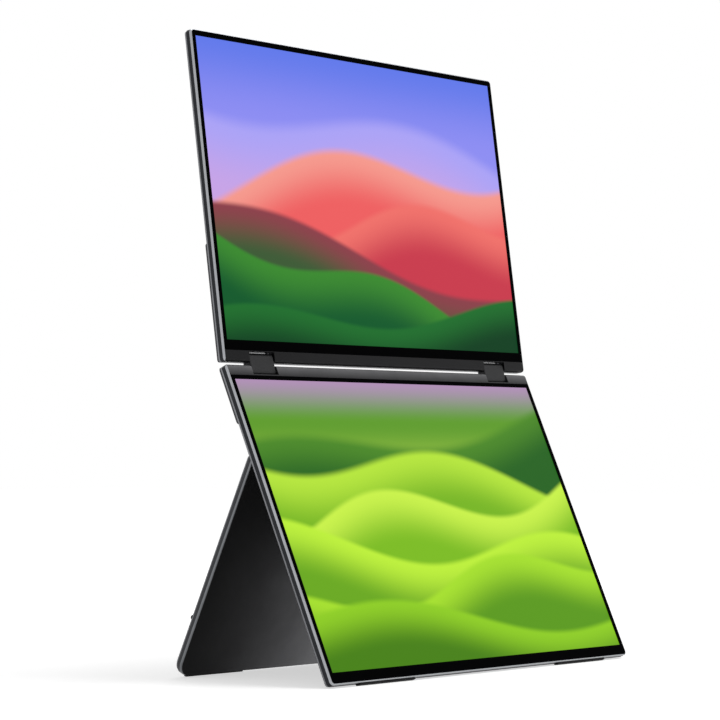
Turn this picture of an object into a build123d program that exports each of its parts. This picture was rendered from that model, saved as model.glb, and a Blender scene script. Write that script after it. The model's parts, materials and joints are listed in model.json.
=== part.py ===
from build123d import *
import os
from math import acos, atan, atan2, cos, degrees, hypot, radians, sin

# Two portable displays, one above the other, folding on a pair of double-axis hinges, with a rear stand.
# Millimetres. X runs to the right, Y to the back and Z up, and the screens face -Y. The origin lies on the
# floor under the middle of the object. The pose is the working one, with both screens up and the stand out.

# Pose
LOWER_TILT = 23.8  # how far the lower display leans back from upright, degrees
FOLD_ANGLE = 164.2  # angle between the two screens, degrees

# Clearances
FIT = 0.05  # between pieces of one body that lie side by side
RUN_FIT = 0.05  # radial, between a shaft and the hole it turns in
CLEAR = 0.3  # between pieces that move past each other
OVERRUN = 12.0  # how far a cut or an outline runs past an edge that trims it

# Screen and the borders around it
ACTIVE_W = 344.7
ACTIVE_H = 215.4
SIDE_BORDER = 4.4
UPPER_STRIP_H = 8.2  # hinge strip, between the border and the hinge edge
UPPER_CHIN = 7.2  # border between the strip and the picture
UPPER_TOP = 4.5  # border above the picture
LOWER_STRIP_H = 8.5
LOWER_TOP = 3.0
CORNER_R = 3.0

# Layers of a display, counted back from its front face
BEZEL_T = 0.5
CELL_T = 1.1
TRAY_T = 1.9
STRIP_T = 1.2
FRAME_T = 1.7
BODY_T = 6.6
BULGE_T = 2.2  # extra thickness of the electronics bulge

# Trim frame, screen module and back cover
FRAME_LIP = 0.7
FRAME_CHAMFER = 0.6
CELL_BORDER = 1.5
TRAY_BORDER = 1.7
TRAY_CHIN = 5.0
WALL = 1.2
SKIN = 1.0
LEDGE_W = 3.0  # ledge inside the back cover that carries the screen module
BEVEL_T = 1.8  # bevelled part of the back cover's side, in depth
BEVEL_IN = 0.7
BULGE_STEP = 0.3  # ledge between the bevel and the bulge
BULGE_SLOPE = 0.8
BULGE_END_WALL = 2.0
UPPER_BULGE = 85.0  # how far the upper bulge runs from the hinge edge
LOWER_BULGE_END = 2.4  # how far the lower bulge runs past its last port

# Hinges between the displays
FOLD_GAP = 1.0  # between the two faces when folded shut
AXIS_INSET = 3.6  # hinge axis from the hinge edge
EDGE_R = 2.6  # rounded edges at the hinge, front and back
HINGE_WALL = 1.6
BLOCK_W = 25.5
BLOCK_R = 3.4
BLOCK_FROM_SIDE = 39.4  # middle of a hinge block from the side of the display
BLOCK_EDGE_R = 0.6
NOTCH_GAP = 0.6  # beside a hinge block
NOTCH_ROOM = 0.6  # beyond the end of a hinge block
CAP_T = 1.4
CAP_SKIN = 0.45
CAP_SCREW_L = 4.0
SHAFT_R = 1.0
TIP_R = 0.8
WASHERS = 3  # spring washers on each shaft
WASHER_R = 1.8
WASHER_T = 0.6
POCKET_ROOM = 0.3
COLLAR_R = 1.7
COLLAR_T = 1.7
BRACKET_W = 18.0
BRACKET_REACH = 20.0
KNUCKLE_WALL = 0.8
LEAF_T = 0.8

# Screws and bosses
SCREW_R = 0.75
HEAD_R = 1.5
HEAD_T = 0.8
BOSS_R = 2.2
SCREW_BITE = 0.3  # how far a screw reaches into the skin under its boss
LEAF_SCREWS_X = 11.0
LEAF_SCREWS_Y = 7.0

# Ports, buttons and electronics on the right side
BAY_START = 6.0
BAY_END_ROOM = 0.8
BAY_ROOM = 12.0
BAY_LIP = 0.3
PORT_DEPTH = 5.6  # middle of the ports, back from the front face
PORT_SHELL = 0.3
PORT_L = 7.3
PORT_RECESS = 0.25
TONGUE_T = 0.7
TONGUE_L = 5.0
USB_W = 8.94
USB_H = 3.16
USB_R = 1.5
USB_FROM_HINGE = 12.0  # middle of the first port from the hinge edge
USB_GAP = 2.06
HDMI_W = 11.2
HDMI_H = 3.2
HDMI_R = 0.6
HDMI_GAP = 1.93
BOARD_T = 0.8
BOARD_IN = 46.0  # width of the main board
BOARD_FROM_SIDE = 3.4
BOARD_LEAD = 3.2  # main board before the middle of the first port
BOARD_END_GAP = 4.0
BOARD_SCREW_EDGE = 3.5
RIBBON_W = 18.0
RIBBON_T = 0.3
RIBBON_PAD = 7.0
RIBBON_RISE = 5.0
RIBBON_RUN = 22.0
SPEAKER_GAP = 25.5  # between a speaker and the hinge bracket
SPEAKER_W = 34.0
SPEAKER_H = 13.0
SPEAKER_T = 3.2
SPEAKER_REACH = 17.0
SPEAKER_R = 2.0
GRILLE_SLOTS = 5
GRILLE_PITCH = 2.2
GRILLE_W = 24.0
GRILLE_H = 1.0
BUTTON_DEPTH = 4.5
BUTTON_H = 1.6
BUTTON_GAP = 0.2
BUTTON_RECESS = 0.1
POWER_L = 8.0
POWER_GAP = 6.4  # between the last port and the power button
POWER_WING = 1.2
POWER_WING_T = 1.0
ROCKER_L = 14.0
ROCKER_GAP = 3.0  # between the buttons
ROCKER_T = 2.4
ROCKER_PIVOT_R = 0.6
ROCKER_PIVOT_IN = 0.9  # from the back of the rocker
ROCKER_PIVOT_L = 0.7
ROCKER_SWITCH_X = 4.5
SWITCH_L = 4.0
SWITCH_W = 3.0
SWITCH_T = 1.2
SWITCH_GAP = 0.7
BUTTON_BOARD_W = 6.0
BUTTON_BOARD_EDGE = 2.0

# Stand
STAND_T = 5.0
CORE_T = 1.2
SHEET_T = 0.3
SHEET_EDGE = 1.2  # bright edge left beside the sheet
CORE_CHAMFER = 0.4
STAND_BEVEL_T = 1.2
STAND_BEVEL_IN = 0.5
STAND_SIDE = 3.4  # how far the stand's sides lie in from the display's
STAND_CORNER_R = 11.0
STAND_SHORT = 0.4  # how far the folded stand ends short of the display's lower edge
PIVOT_REACH = 68.1
STAND_HINGE_FROM_SIDE = 62.9
KNUCKLE_W = 14.0
KNUCKLE_L = 9.0
TONGUE_REACH = 22.0
STAND_TONGUE_T = 1.0
STAND_SCREWS_X = 8.0
STAND_SCREW_TIP = 0.6
LUG_W = 4.0
LUG_GAP = 0.4
BASE_H = 18.0
BASE_T = 1.0
BASE_EDGE = 6.0
STAND_PIN_R = 1.0
BASE_SCREW_HEAD_T = 0.6

# Rubber feet and bumpers
FOOT_PROUD = 1.4
FOOT_TRIM = 0.5  # how much of each foot is cut flat where it meets the floor
FOOT_FRONT = 1.2
FOOT_BACK = 4.8
FOOT_L = 61.0
FOOT_FROM_SIDE = 29.9
STAND_FOOT_PROUD = 1.6
STAND_FOOT_FRONT = 0.4
STAND_FOOT_BACK = 3.0
STAND_FOOT_L = 59.0
BUMPER_PROUD = 1.4
BUMPER_L = 3.0
BUMPER_W = 10.0
BUMPER_REACH = 122.0
BUMPER_FROM_SIDE = 0.2
BUMPER_R = 1.2

# Worked out from the sizes above
PANEL_W = ACTIVE_W + 2 * SIDE_BORDER
PANEL_H = UPPER_STRIP_H + UPPER_CHIN + ACTIVE_H + UPPER_TOP
WIDTH = (-PANEL_W / 2, PANEL_W / 2)
CELL_BACK = BEZEL_T + CELL_T
TRAY_BACK = CELL_BACK + TRAY_T
BEVEL_START = BODY_T - BEVEL_T
COVER_T = BODY_T + BULGE_T
FLOOR = BODY_T - SKIN
BULGE_FLOOR = COVER_T - SKIN
AXIS_DEPTH = COVER_T / 2
AXIS_SPACING = COVER_T + FOLD_GAP
NOTCH_H = AXIS_INSET + BLOCK_R + NOTCH_ROOM
BLOCK_X = PANEL_W / 2 - BLOCK_FROM_SIDE
BLOCK_IN = BLOCK_X - BLOCK_W / 2
BLOCK_OUT = BLOCK_X + BLOCK_W / 2
NOTCH = (BLOCK_IN - NOTCH_GAP, BLOCK_OUT + NOTCH_GAP)
CAP_IN = BLOCK_OUT - CAP_T
CAP_BORE_END = BLOCK_OUT - CAP_SKIN
COLLAR_END = CAP_IN - CLEAR
COLLAR_START = COLLAR_END - COLLAR_T
WASHER_STEP = WASHER_T + FIT
POCKET_IN = COLLAR_START - WASHERS * WASHER_STEP - FIT
BRACKET_OUT = NOTCH[0] - WALL - CLEAR
BRACKET_IN = BRACKET_OUT - BRACKET_W
LEAF_BACK = AXIS_DEPTH + SHAFT_R + KNUCKLE_WALL
KNUCKLE_REACH = AXIS_INSET + SHAFT_R + KNUCKLE_WALL
SPEAKER_X = BRACKET_IN - SPEAKER_GAP - SPEAKER_W / 2
USB_REACH = (USB_FROM_HINGE, USB_FROM_HINGE + USB_W + USB_GAP)
HDMI_REACH = USB_REACH[1] + USB_W / 2 + HDMI_GAP + HDMI_W / 2
LOWER_BULGE = HDMI_REACH + HDMI_W / 2 + LOWER_BULGE_END
BOARD_START = USB_FROM_HINGE - BOARD_LEAD
BOARD_FRONT = PORT_DEPTH - BOARD_T / 2
BOARD_BACK = PORT_DEPTH + BOARD_T / 2
BOARD = (PANEL_W / 2 - BOARD_FROM_SIDE - BOARD_IN, PANEL_W / 2 - BOARD_FROM_SIDE)
WALL_INSIDE = PANEL_W / 2 - WALL
POWER_REACH = HDMI_REACH + HDMI_W / 2 + POWER_GAP + POWER_L / 2
ROCKER_REACH = POWER_REACH + POWER_L / 2 + ROCKER_GAP + ROCKER_L / 2
BUTTON_BOARD = (
    POWER_REACH - POWER_L / 2 - BUTTON_BOARD_EDGE,
    ROCKER_REACH + ROCKER_L / 2 + BUTTON_BOARD_EDGE,
)
BAY_END = BUTTON_BOARD[1] + BAY_END_ROOM + WALL
BUTTON_DEPTHS = (BUTTON_DEPTH - BUTTON_H / 2, BUTTON_DEPTH + BUTTON_H / 2)
BUTTON_FACE = PANEL_W / 2 - BUTTON_RECESS
ROCKER_BACK = BUTTON_FACE - ROCKER_T
POWER_BACK = WALL_INSIDE - CLEAR - POWER_WING_T
SWITCH_FACE = min(ROCKER_BACK, POWER_BACK) - SWITCH_GAP
PIVOT_DEPTH = BODY_T + CLEAR + STAND_T / 2
STAND_HINGE_X = PANEL_W / 2 - STAND_HINGE_FROM_SIDE
STAND_HINGE_HALF = KNUCKLE_W / 2 + LUG_GAP + LUG_W
STAND_HALF = PANEL_W / 2 - STAND_SIDE
STAND_SPAN = (-STAND_HALF, STAND_HALF)
STAND_L = PANEL_H - PIVOT_REACH - STAND_FOOT_PROUD - STAND_SHORT
LEG = STAND_L + STAND_FOOT_PROUD


def swing(tilt, up, front):
    """Y and Z travelled by going up a plate that leans back by tilt, and out of its front."""
    lean = radians(tilt)
    return up * sin(lean) - front * cos(lean), up * cos(lean) + front * sin(lean)


# Where the hinge axes, the stand's pivot and the leaning parts come to stand
UPPER_TILT = LOWER_TILT - (180 - FOLD_ANGLE)
LINK_TILT = (LOWER_TILT + UPPER_TILT) / 2
FOOT_DROP = swing(LOWER_TILT, AXIS_INSET - PANEL_H - FOOT_PROUD, AXIS_DEPTH - FOOT_BACK)[1]
AXIS_Z = -FOOT_DROP - FOOT_TRIM
TO_PIVOT = swing(LOWER_TILT, AXIS_INSET - PIVOT_REACH, AXIS_DEPTH - PIVOT_DEPTH)
PIVOT_Z = AXIS_Z + TO_PIVOT[1]
STAND_FOOT_FORE = STAND_T / 2 - STAND_FOOT_FRONT
STAND_LEAN = degrees(
    atan2(STAND_FOOT_FORE, LEG) + acos((PIVOT_Z + FOOT_TRIM) / hypot(LEG, STAND_FOOT_FORE))
)
FRONT_Y = swing(LOWER_TILT, AXIS_INSET + FRAME_CHAMFER - PANEL_H, AXIS_DEPTH)[0]
BACK_Y = TO_PIVOT[0] + swing(-STAND_LEAN, STAND_BEVEL_IN - STAND_L, -STAND_T / 2)[0]
AXIS_Y = -(FRONT_Y + BACK_Y) / 2
TO_UPPER_AXIS = swing(LINK_TILT, AXIS_SPACING, 0)


class Leaf:
    """A leaning plate with its origin on a hinge axis. Reach is from its hinge edge, depth from its front."""

    def __init__(self, y, z, tilt, away, inset, cover):
        lean = radians(tilt)
        self.origin = Vector(0, y, z)
        self.up = Vector(0, sin(lean), cos(lean))
        self.front = Vector(0, -cos(lean), sin(lean))
        self.away = away
        self.inset = inset
        self.cover = cover

    def at(self, reach, depth):
        """Height and distance to the front, both from the axis, of a reach and a depth."""
        return self.away * (reach - self.inset), self.cover - depth

    def layer(self, depth):
        """The plane of the plate at a depth."""
        return Plane(self.origin + self.front * (self.cover - depth), (1, 0, 0), self.front)

    def section(self, x):
        """The cross-section plane at x, with its own x up the plate and its own y to the front."""
        return Plane(self.origin + Vector(x, 0, 0), self.up, (1, 0, 0))

    def corner(self, front):
        """The direction from the plate to its hinge edge's front corner (1) or back corner (-1)."""
        return Axis(self.origin, self.front * front - self.up * self.away)


class Display(Leaf):
    """A display: its pieces' name, its hinge strip, and the reach of its picture, tray, board and bulge."""

    def __init__(self, name, y, z, tilt, away, bulge, strip, border):
        super().__init__(y, z, tilt, away, AXIS_INSET, AXIS_DEPTH)
        self.name = name
        self.bulge = bulge
        self.strip = strip
        chin_first = away > 0
        start = strip + border
        self.picture = (start, start + ACTIVE_H)
        near = TRAY_CHIN if chin_first else TRAY_BORDER
        far = TRAY_BORDER if chin_first else TRAY_CHIN
        self.tray = (start - near, start + ACTIVE_H + far)
        self.board = (BOARD_START, LOWER_BULGE - BOARD_END_GAP)


UPPER_AXIS_Y = AXIS_Y + TO_UPPER_AXIS[0]
UPPER_AXIS_Z = AXIS_Z + TO_UPPER_AXIS[1]
lower = Display("lower", AXIS_Y, AXIS_Z, LOWER_TILT, -1, LOWER_BULGE, LOWER_STRIP_H, LOWER_TOP)
upper = Display("upper", UPPER_AXIS_Y, UPPER_AXIS_Z, UPPER_TILT, 1, UPPER_BULGE, UPPER_STRIP_H, UPPER_CHIN)
link = Leaf(AXIS_Y, AXIS_Z, LINK_TILT, 1, 0, 0)
stand = Leaf(AXIS_Y + TO_PIVOT[0], PIVOT_Z, -STAND_LEAN, -1, 0, STAND_T / 2)


def middle(span):
    return (span[0] + span[1]) / 2


def length(span):
    return span[1] - span[0]


def around(centre, size):
    return centre - size / 2, centre + size / 2


def grown(span, amount):
    return span[0] - amount, span[1] + amount


def on_side(side, span):
    """A span measured out from the middle of the object, on the right (1) or the left (-1)."""
    return tuple(sorted((side * span[0], side * span[1])))


def slab(leaf, across, reach, depth, radius=0, taper=0, mode=Mode.ADD):
    """A plate of a leaf, given by its spans across, from the hinge edge and in depth."""
    with BuildSketch(leaf.layer(depth[0])) as outline:
        with Locations((middle(across), leaf.at(middle(reach), 0)[0])):
            if radius:
                RectangleRounded(length(across), length(reach), radius)
            else:
                Rectangle(length(across), length(reach))
    extrude(outline.sketch, amount=-length(depth), taper=taper, mode=mode)


def discs(leaf, spots, radius, depth, mode=Mode.ADD):
    """Round posts or holes through a leaf, at spots given across and in reach."""
    with BuildSketch(leaf.layer(depth[0])) as circles:
        with Locations(*[(x, leaf.at(reach, 0)[0]) for x, reach in spots]):
            Circle(radius)
    extrude(circles.sketch, amount=-length(depth), mode=mode)


def rod(leaf, spot, across, radius, mode=Mode.ADD):
    """A rod or a bore along X, at a spot given up the leaf and to its front from its axis."""
    with BuildSketch(leaf.section(across[0])) as circle:
        with Locations(spot):
            Circle(radius)
    extrude(circle.sketch, amount=length(across), mode=mode)


def save(part, name):
    """Labels a finished piece and writes it."""
    part.label = name
    export_step(part, f"parts/{name}.step")


def notches(display, mode=Mode.SUBTRACT):
    """Cuts the two places in the hinge edge where the hinge blocks turn."""
    for side in (-1, 1):
        slab(display, on_side(side, NOTCH), (-OVERRUN, NOTCH_H), (-OVERRUN, COVER_T + OVERRUN), mode=mode)


def rounded_edge(display):
    """Rounds the hinge edge of what is being built, front and back, through all its layers."""
    with BuildPart(mode=Mode.PRIVATE) as form:
        slab(display, WIDTH, (0, PANEL_H), (0, COVER_T))
        for face in (1, -1):
            fillet(form.edges().filter_by(Axis.X).group_by(display.corner(face))[-1], EDGE_R)
    add(form.part, mode=Mode.INTERSECT)


def leaf_spots(side):
    """Screw places of a hinge bracket."""
    centre = side * (BRACKET_IN + BRACKET_OUT) / 2
    row = (KNUCKLE_REACH + BRACKET_REACH) / 2
    return [
        (centre + x * LEAF_SCREWS_X / 2, row + y * LEAF_SCREWS_Y / 2) for x in (-1, 1) for y in (-1, 1)
    ]


def board_spots(display):
    """Screw places of the main board."""
    reaches = (display.board[0] + BOARD_SCREW_EDGE, display.board[1] - BOARD_SCREW_EDGE)
    inner = BOARD[0] + BOARD_SCREW_EDGE
    outer = BOARD[1] - PORT_L - BOARD_SCREW_EDGE
    return [(x, reach) for x in (inner, outer) for reach in reaches]


def stand_base_spots(side):
    """Screw places of a stand bracket's base, outside its lugs."""
    out = STAND_HINGE_HALF + BASE_EDGE / 2
    return [(side * STAND_HINGE_X + x * out, PIVOT_REACH) for x in (-1, 1)]


def ports():
    """Reach, width, height and corner radius of each port."""
    return [(reach, USB_W, USB_H, USB_R) for reach in USB_REACH] + [(HDMI_REACH, HDMI_W, HDMI_H, HDMI_R)]


def port_shape(display, x, port, grow, run, mode=Mode.ADD):
    """A port's rounded outline, grown on every side, drawn at x and run inwards."""
    reach, width, height, radius = port
    with BuildSketch(display.section(x)) as outline:
        with Locations(display.at(reach, PORT_DEPTH)):
            RectangleRounded(width + 2 * grow, height + 2 * grow, radius + grow)
    extrude(outline.sketch, amount=-run, mode=mode)


def trim_frame(display):
    """The bright edge of the display, open at the hinge edge."""
    with BuildPart() as frame:
        slab(display, WIDTH, (0, PANEL_H), (0, FRAME_T), CORNER_R)
        front = frame.faces().sort_by(Axis(display.origin, display.front))[-1]
        chamfer(front.edges(), FRAME_CHAMFER)
        lip = (-OVERRUN, PANEL_H - FRAME_LIP)
        slab(display, grown(WIDTH, -FRAME_LIP), lip, (0, BEZEL_T), CORNER_R - FRAME_LIP, mode=Mode.SUBTRACT)
        wall = (-OVERRUN, PANEL_H - WALL)
        slab(display, grown(WIDTH, -WALL), wall, (BEZEL_T, FRAME_T), CORNER_R - WALL, mode=Mode.SUBTRACT)
        rounded_edge(display)
    save(frame.part, f"{display.name}_trim_frame")


def front_bezel(display):
    """The black border around the picture."""
    with BuildPart() as bezel:
        outer = FRAME_LIP + FIT
        reach = (display.strip - OVERRUN, PANEL_H - outer)
        slab(display, grown(WIDTH, -outer), reach, (0, BEZEL_T), CORNER_R - outer)
        strip = (-OVERRUN, display.strip + FIT)
        slab(display, grown(WIDTH, OVERRUN), strip, (0, BEZEL_T), mode=Mode.SUBTRACT)
        slab(display, around(0, ACTIVE_W), display.picture, (0, BEZEL_T), mode=Mode.SUBTRACT)
    save(bezel.part, f"{display.name}_front_bezel")


def lcd_cell(display):
    """The picture glass, stuck to the back of the bezel."""
    with BuildPart() as cell:
        size = ACTIVE_W + 2 * CELL_BORDER
        slab(display, around(0, size), grown(display.picture, CELL_BORDER), (BEZEL_T, CELL_BACK))
    save(cell.part, f"{display.name}_lcd_cell")


def backlight_tray(display):
    """The light guide in its tray, behind the picture glass."""
    with BuildPart() as tray:
        slab(display, around(0, ACTIVE_W + 2 * TRAY_BORDER), display.tray, (CELL_BACK, TRAY_BACK))
    save(tray.part, f"{display.name}_backlight_tray")


def hinge_strip(display):
    """The grey strip along the hinge edge, with the places for the hinge blocks."""
    with BuildPart() as strip:
        reach = (0, display.strip - FIT)
        slab(display, grown(WIDTH, -FRAME_LIP - FIT), reach, (0, BEZEL_T))
        slab(display, grown(WIDTH, -WALL - FIT), reach, (BEZEL_T, STRIP_T))
        slab(display, WIDTH, (0, PANEL_H), (0, STRIP_T), CORNER_R, mode=Mode.INTERSECT)
        rounded_edge(display)
        notches(display)
    save(strip.part, f"{display.name}_hinge_strip")


def cover_outside(display):
    """The outer form of a back cover: flat side, bevel and bulge, with a flat bay for the ports."""
    bevel = degrees(atan(BEVEL_IN / BEVEL_T))
    slope = degrees(atan(BULGE_SLOPE / BULGE_T))
    past_hinge = (-OVERRUN, PANEL_H)
    step = BEVEL_IN + BULGE_STEP
    slab(display, WIDTH, (0, PANEL_H), (FRAME_T, BEVEL_START), CORNER_R)
    slab(display, WIDTH, past_hinge, (BEVEL_START, BODY_T), CORNER_R, bevel)
    slab(display, grown(WIDTH, -step), (-OVERRUN, display.bulge), (BODY_T, COVER_T), CORNER_R, slope)
    bay = (WIDTH[1] - WALL - step, WIDTH[1])
    slab(display, bay, (BAY_START, BAY_END), (BEVEL_START, BODY_T))
    slab(display, bay, (BAY_START, display.bulge), (BODY_T, COVER_T - BAY_LIP))
    slab(display, WIDTH, (0, PANEL_H), (FRAME_T, COVER_T), CORNER_R, mode=Mode.INTERSECT)


def cover_inside(display):
    """The hollow of a back cover: the seat of the screen module, the room behind it and the bulge."""
    cut = Mode.SUBTRACT
    inner = WALL + LEDGE_W
    bulge_end = display.bulge - BULGE_END_WALL
    seat = (HINGE_WALL, PANEL_H - WALL)
    slab(display, grown(WIDTH, -WALL), seat, (FRAME_T, TRAY_BACK), CORNER_R - WALL, mode=cut)
    slab(display, grown(WIDTH, -inner), (HINGE_WALL, PANEL_H - inner), (TRAY_BACK, FLOOR), mode=cut)
    slab(display, grown(WIDTH, -inner), (HINGE_WALL, bulge_end), (TRAY_BACK, BULGE_FLOOR), mode=cut)
    bay = (WALL_INSIDE - BAY_ROOM, WALL_INSIDE)
    slab(display, bay, (BAY_START + WALL, BAY_END - WALL), (TRAY_BACK, FLOOR), mode=cut)
    slab(display, bay, (BAY_START, bulge_end), (TRAY_BACK, BULGE_FLOOR), mode=cut)


def cover_hinge_walls(display):
    """Walls that carry the hinge strip and close the cover around the hinge blocks."""
    slab(display, grown(WIDTH, -WALL - FIT), (0, HINGE_WALL), (STRIP_T, FRAME_T))
    for side in (-1, 1):
        around_notch = on_side(side, grown(NOTCH, WALL))
        slab(display, around_notch, (HINGE_WALL / 2, NOTCH_H + WALL), (STRIP_T, BULGE_FLOOR))
    notches(display)
    slab(display, WIDTH, (0, PANEL_H), (STRIP_T, COVER_T), CORNER_R, mode=Mode.INTERSECT)
    for side in (-1, 1):
        through = on_side(side, grown((NOTCH[0] - WALL, NOTCH[0]), CLEAR))
        rod(display, (0, 0), through, SHAFT_R + CLEAR, Mode.SUBTRACT)


def cover_bosses(display):
    """Bosses for the hinge brackets and the main board, with their screw holes."""
    leaf_bosses = leaf_spots(-1) + leaf_spots(1)
    board_bosses = board_spots(display)
    discs(display, leaf_bosses, BOSS_R, (LEAF_BACK, BULGE_FLOOR))
    discs(display, board_bosses, BOSS_R, (BOARD_BACK, BULGE_FLOOR))
    hole_end = BULGE_FLOOR + SCREW_BITE + FIT
    discs(display, leaf_bosses, SCREW_R + FIT, (LEAF_BACK, hole_end), Mode.SUBTRACT)
    discs(display, board_bosses, SCREW_R + FIT, (BOARD_BACK, hole_end), Mode.SUBTRACT)


def cover_openings(display):
    """Port and button openings in the right side, and the speaker slots in the back."""
    cut = Mode.SUBTRACT
    for port in ports():
        port_shape(display, WIDTH[1] + OVERRUN, port, FIT, OVERRUN + 2 * WALL, cut)
    wall = (WALL_INSIDE - CLEAR, WIDTH[1] + OVERRUN)
    depths = grown(BUTTON_DEPTHS, BUTTON_GAP)
    slab(display, wall, grown(around(POWER_REACH, POWER_L), BUTTON_GAP), depths, mode=cut)
    slab(display, wall, grown(around(ROCKER_REACH, ROCKER_L), CLEAR), depths, mode=cut)
    pivot_hole = (BUTTON_DEPTHS[1], BUTTON_DEPTHS[1] + ROCKER_PIVOT_L + RUN_FIT)
    discs(display, [rocker_pivot()], ROCKER_PIVOT_R + RUN_FIT, pivot_hole, cut)
    rows = [SPEAKER_REACH + GRILLE_PITCH * (row - (GRILLE_SLOTS - 1) / 2) for row in range(GRILLE_SLOTS)]
    for side in (-1, 1):
        with BuildSketch(display.layer(COVER_T)) as grille:
            with Locations(*[(side * SPEAKER_X, display.at(reach, 0)[0]) for reach in rows]):
                SlotOverall(GRILLE_W, GRILLE_H)
        extrude(grille.sketch, amount=SKIN, mode=cut)


def cover_stand_seat():
    """Slots in the lower cover for the lugs of the stand brackets, and their screw holes."""
    cut = Mode.SUBTRACT
    lug = grown(around(PIVOT_REACH, STAND_T), FIT)
    for side in (-1, 1):
        for lug_across in lugs(side):
            slab(lower, grown(lug_across, FIT), lug, (FLOOR, BODY_T), mode=cut)
        spots = stand_base_spots(side)
        discs(lower, spots, SCREW_R + FIT, (FLOOR, BODY_T), cut)
        discs(lower, spots, HEAD_R + FIT, (BODY_T - BASE_SCREW_HEAD_T, BODY_T), cut)


def back_cover(display):
    """The dark rear shell of a display."""
    with BuildPart() as cover:
        cover_outside(display)
        cover_inside(display)
        cover_hinge_walls(display)
        rounded_edge(display)
        cover_bosses(display)
        cover_openings(display)
        if display is lower:
            cover_stand_seat()
    save(cover.part, f"{display.name}_back_cover")


def main_board(display):
    """The circuit board, cut out around the ports that sit in its edge."""
    with BuildPart() as board:
        slab(display, BOARD, display.board, (BOARD_FRONT, BOARD_BACK))
        for reach, width, _, _ in ports():
            cut_out = (WIDTH[1] - PORT_RECESS - PORT_L - FIT, WIDTH[1])
            span = grown(around(reach, width), FIT)
            slab(display, cut_out, span, (BOARD_FRONT, BOARD_BACK), mode=Mode.SUBTRACT)
        holes = board_spots(display)
        discs(display, holes, SCREW_R + FIT, (BOARD_FRONT, BOARD_BACK), Mode.SUBTRACT)
    save(board.part, f"{display.name}_main_board")


def socket(display, port):
    """One port: a shell open to the right, with its contact tongue."""
    reach, width, height, _ = port
    mouth = WIDTH[1] - PORT_RECESS
    port_shape(display, mouth, port, 0, PORT_L)
    port_shape(display, mouth, port, -PORT_SHELL, PORT_L - PORT_SHELL, Mode.SUBTRACT)
    tongue = (mouth - PORT_L, mouth - PORT_L + PORT_SHELL + TONGUE_L)
    slab(display, tongue, around(reach, width - height), around(PORT_DEPTH, TONGUE_T))


def usb_sockets(display):
    """The two small reversible ports."""
    with BuildPart() as sockets:
        for port in ports()[:-1]:
            socket(display, port)
    save(sockets.part, f"{display.name}_usb_c_sockets")


def hdmi_socket(display):
    """The mini video port."""
    with BuildPart() as hdmi:
        socket(display, ports()[-1])
    save(hdmi.part, f"{display.name}_hdmi_socket")


def display_ribbon(display):
    """The flat cable from the main board up to the back of the screen module."""
    across = around(middle(BOARD), RIBBON_W)
    pad = (display.board[1] - BOARD_SCREW_EDGE - RIBBON_PAD, display.board[1])
    top = pad[1] + RIBBON_RISE
    spots = [
        (pad[0], BOARD_FRONT),
        (pad[1], BOARD_FRONT),
        (top, TRAY_BACK + RIBBON_T),
        (top + RIBBON_RUN, TRAY_BACK + RIBBON_T),
        (top + RIBBON_RUN, TRAY_BACK),
        (top - RIBBON_T, TRAY_BACK),
        (pad[1] - RIBBON_T, BOARD_FRONT - RIBBON_T),
        (pad[0], BOARD_FRONT - RIBBON_T),
    ]
    with BuildPart() as ribbon:
        with BuildSketch(display.section(across[0])) as profile:
            with BuildLine():
                Polyline(*[display.at(reach, depth) for reach, depth in spots], close=True)
            make_face()
        extrude(profile.sketch, amount=length(across))
    save(ribbon.part, f"{display.name}_display_ribbon")


def speakers(display):
    """The two flat speakers on the floor of the bulge."""
    with BuildPart() as pair:
        for side in (-1, 1):
            across = around(side * SPEAKER_X, SPEAKER_W)
            reach = around(SPEAKER_REACH, SPEAKER_H)
            slab(display, across, reach, (BULGE_FLOOR - SPEAKER_T, BULGE_FLOOR), SPEAKER_R)
    save(pair.part, f"{display.name}_speakers")


def hinge_brackets(display):
    """The steel leaves that hold the hinge shafts in a display."""
    with BuildPart() as brackets:
        for side in (-1, 1):
            across = on_side(side, (BRACKET_IN, BRACKET_OUT))
            front = AXIS_DEPTH - SHAFT_R - KNUCKLE_WALL
            slab(display, across, (HINGE_WALL + FIT, KNUCKLE_REACH), (front, LEAF_BACK))
            slab(display, across, (KNUCKLE_REACH, BRACKET_REACH), (LEAF_BACK - LEAF_T, LEAF_BACK))
            rod(display, (0, 0), across, SHAFT_R + FIT / 2, Mode.SUBTRACT)
            holes = leaf_spots(side)
            discs(display, holes, SCREW_R + FIT, (LEAF_BACK - LEAF_T, LEAF_BACK), Mode.SUBTRACT)
    save(brackets.part, f"{display.name}_hinge_brackets")


def screws(display, spots, seat, end, name):
    """Pan-head screws standing on a seat, reaching back to an end."""
    with BuildPart() as group:
        discs(display, spots, HEAD_R, (seat - HEAD_T, seat))
        discs(display, spots, SCREW_R, (seat, end))
    save(group.part, f"{display.name}_{name}")


def power_button(display):
    """The power button, with wings behind the wall that keep it in."""
    with BuildPart() as button:
        reach = around(POWER_REACH, POWER_L)
        slab(display, (POWER_BACK, BUTTON_FACE), reach, BUTTON_DEPTHS)
        slab(display, (POWER_BACK, POWER_BACK + POWER_WING_T), grown(reach, POWER_WING), BUTTON_DEPTHS)
    save(button.part, f"{display.name}_power_button")


def rocker_pivot():
    return ROCKER_BACK + ROCKER_PIVOT_IN, ROCKER_REACH


def menu_rocker(display):
    """The menu rocker, on a stub that turns in the floor of the cover."""
    with BuildPart() as rocker:
        slab(display, (ROCKER_BACK, BUTTON_FACE), around(ROCKER_REACH, ROCKER_L), BUTTON_DEPTHS)
        stub = (BUTTON_DEPTHS[1], BUTTON_DEPTHS[1] + ROCKER_PIVOT_L)
        discs(display, [rocker_pivot()], ROCKER_PIVOT_R, stub)
    save(rocker.part, f"{display.name}_menu_rocker")


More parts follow.
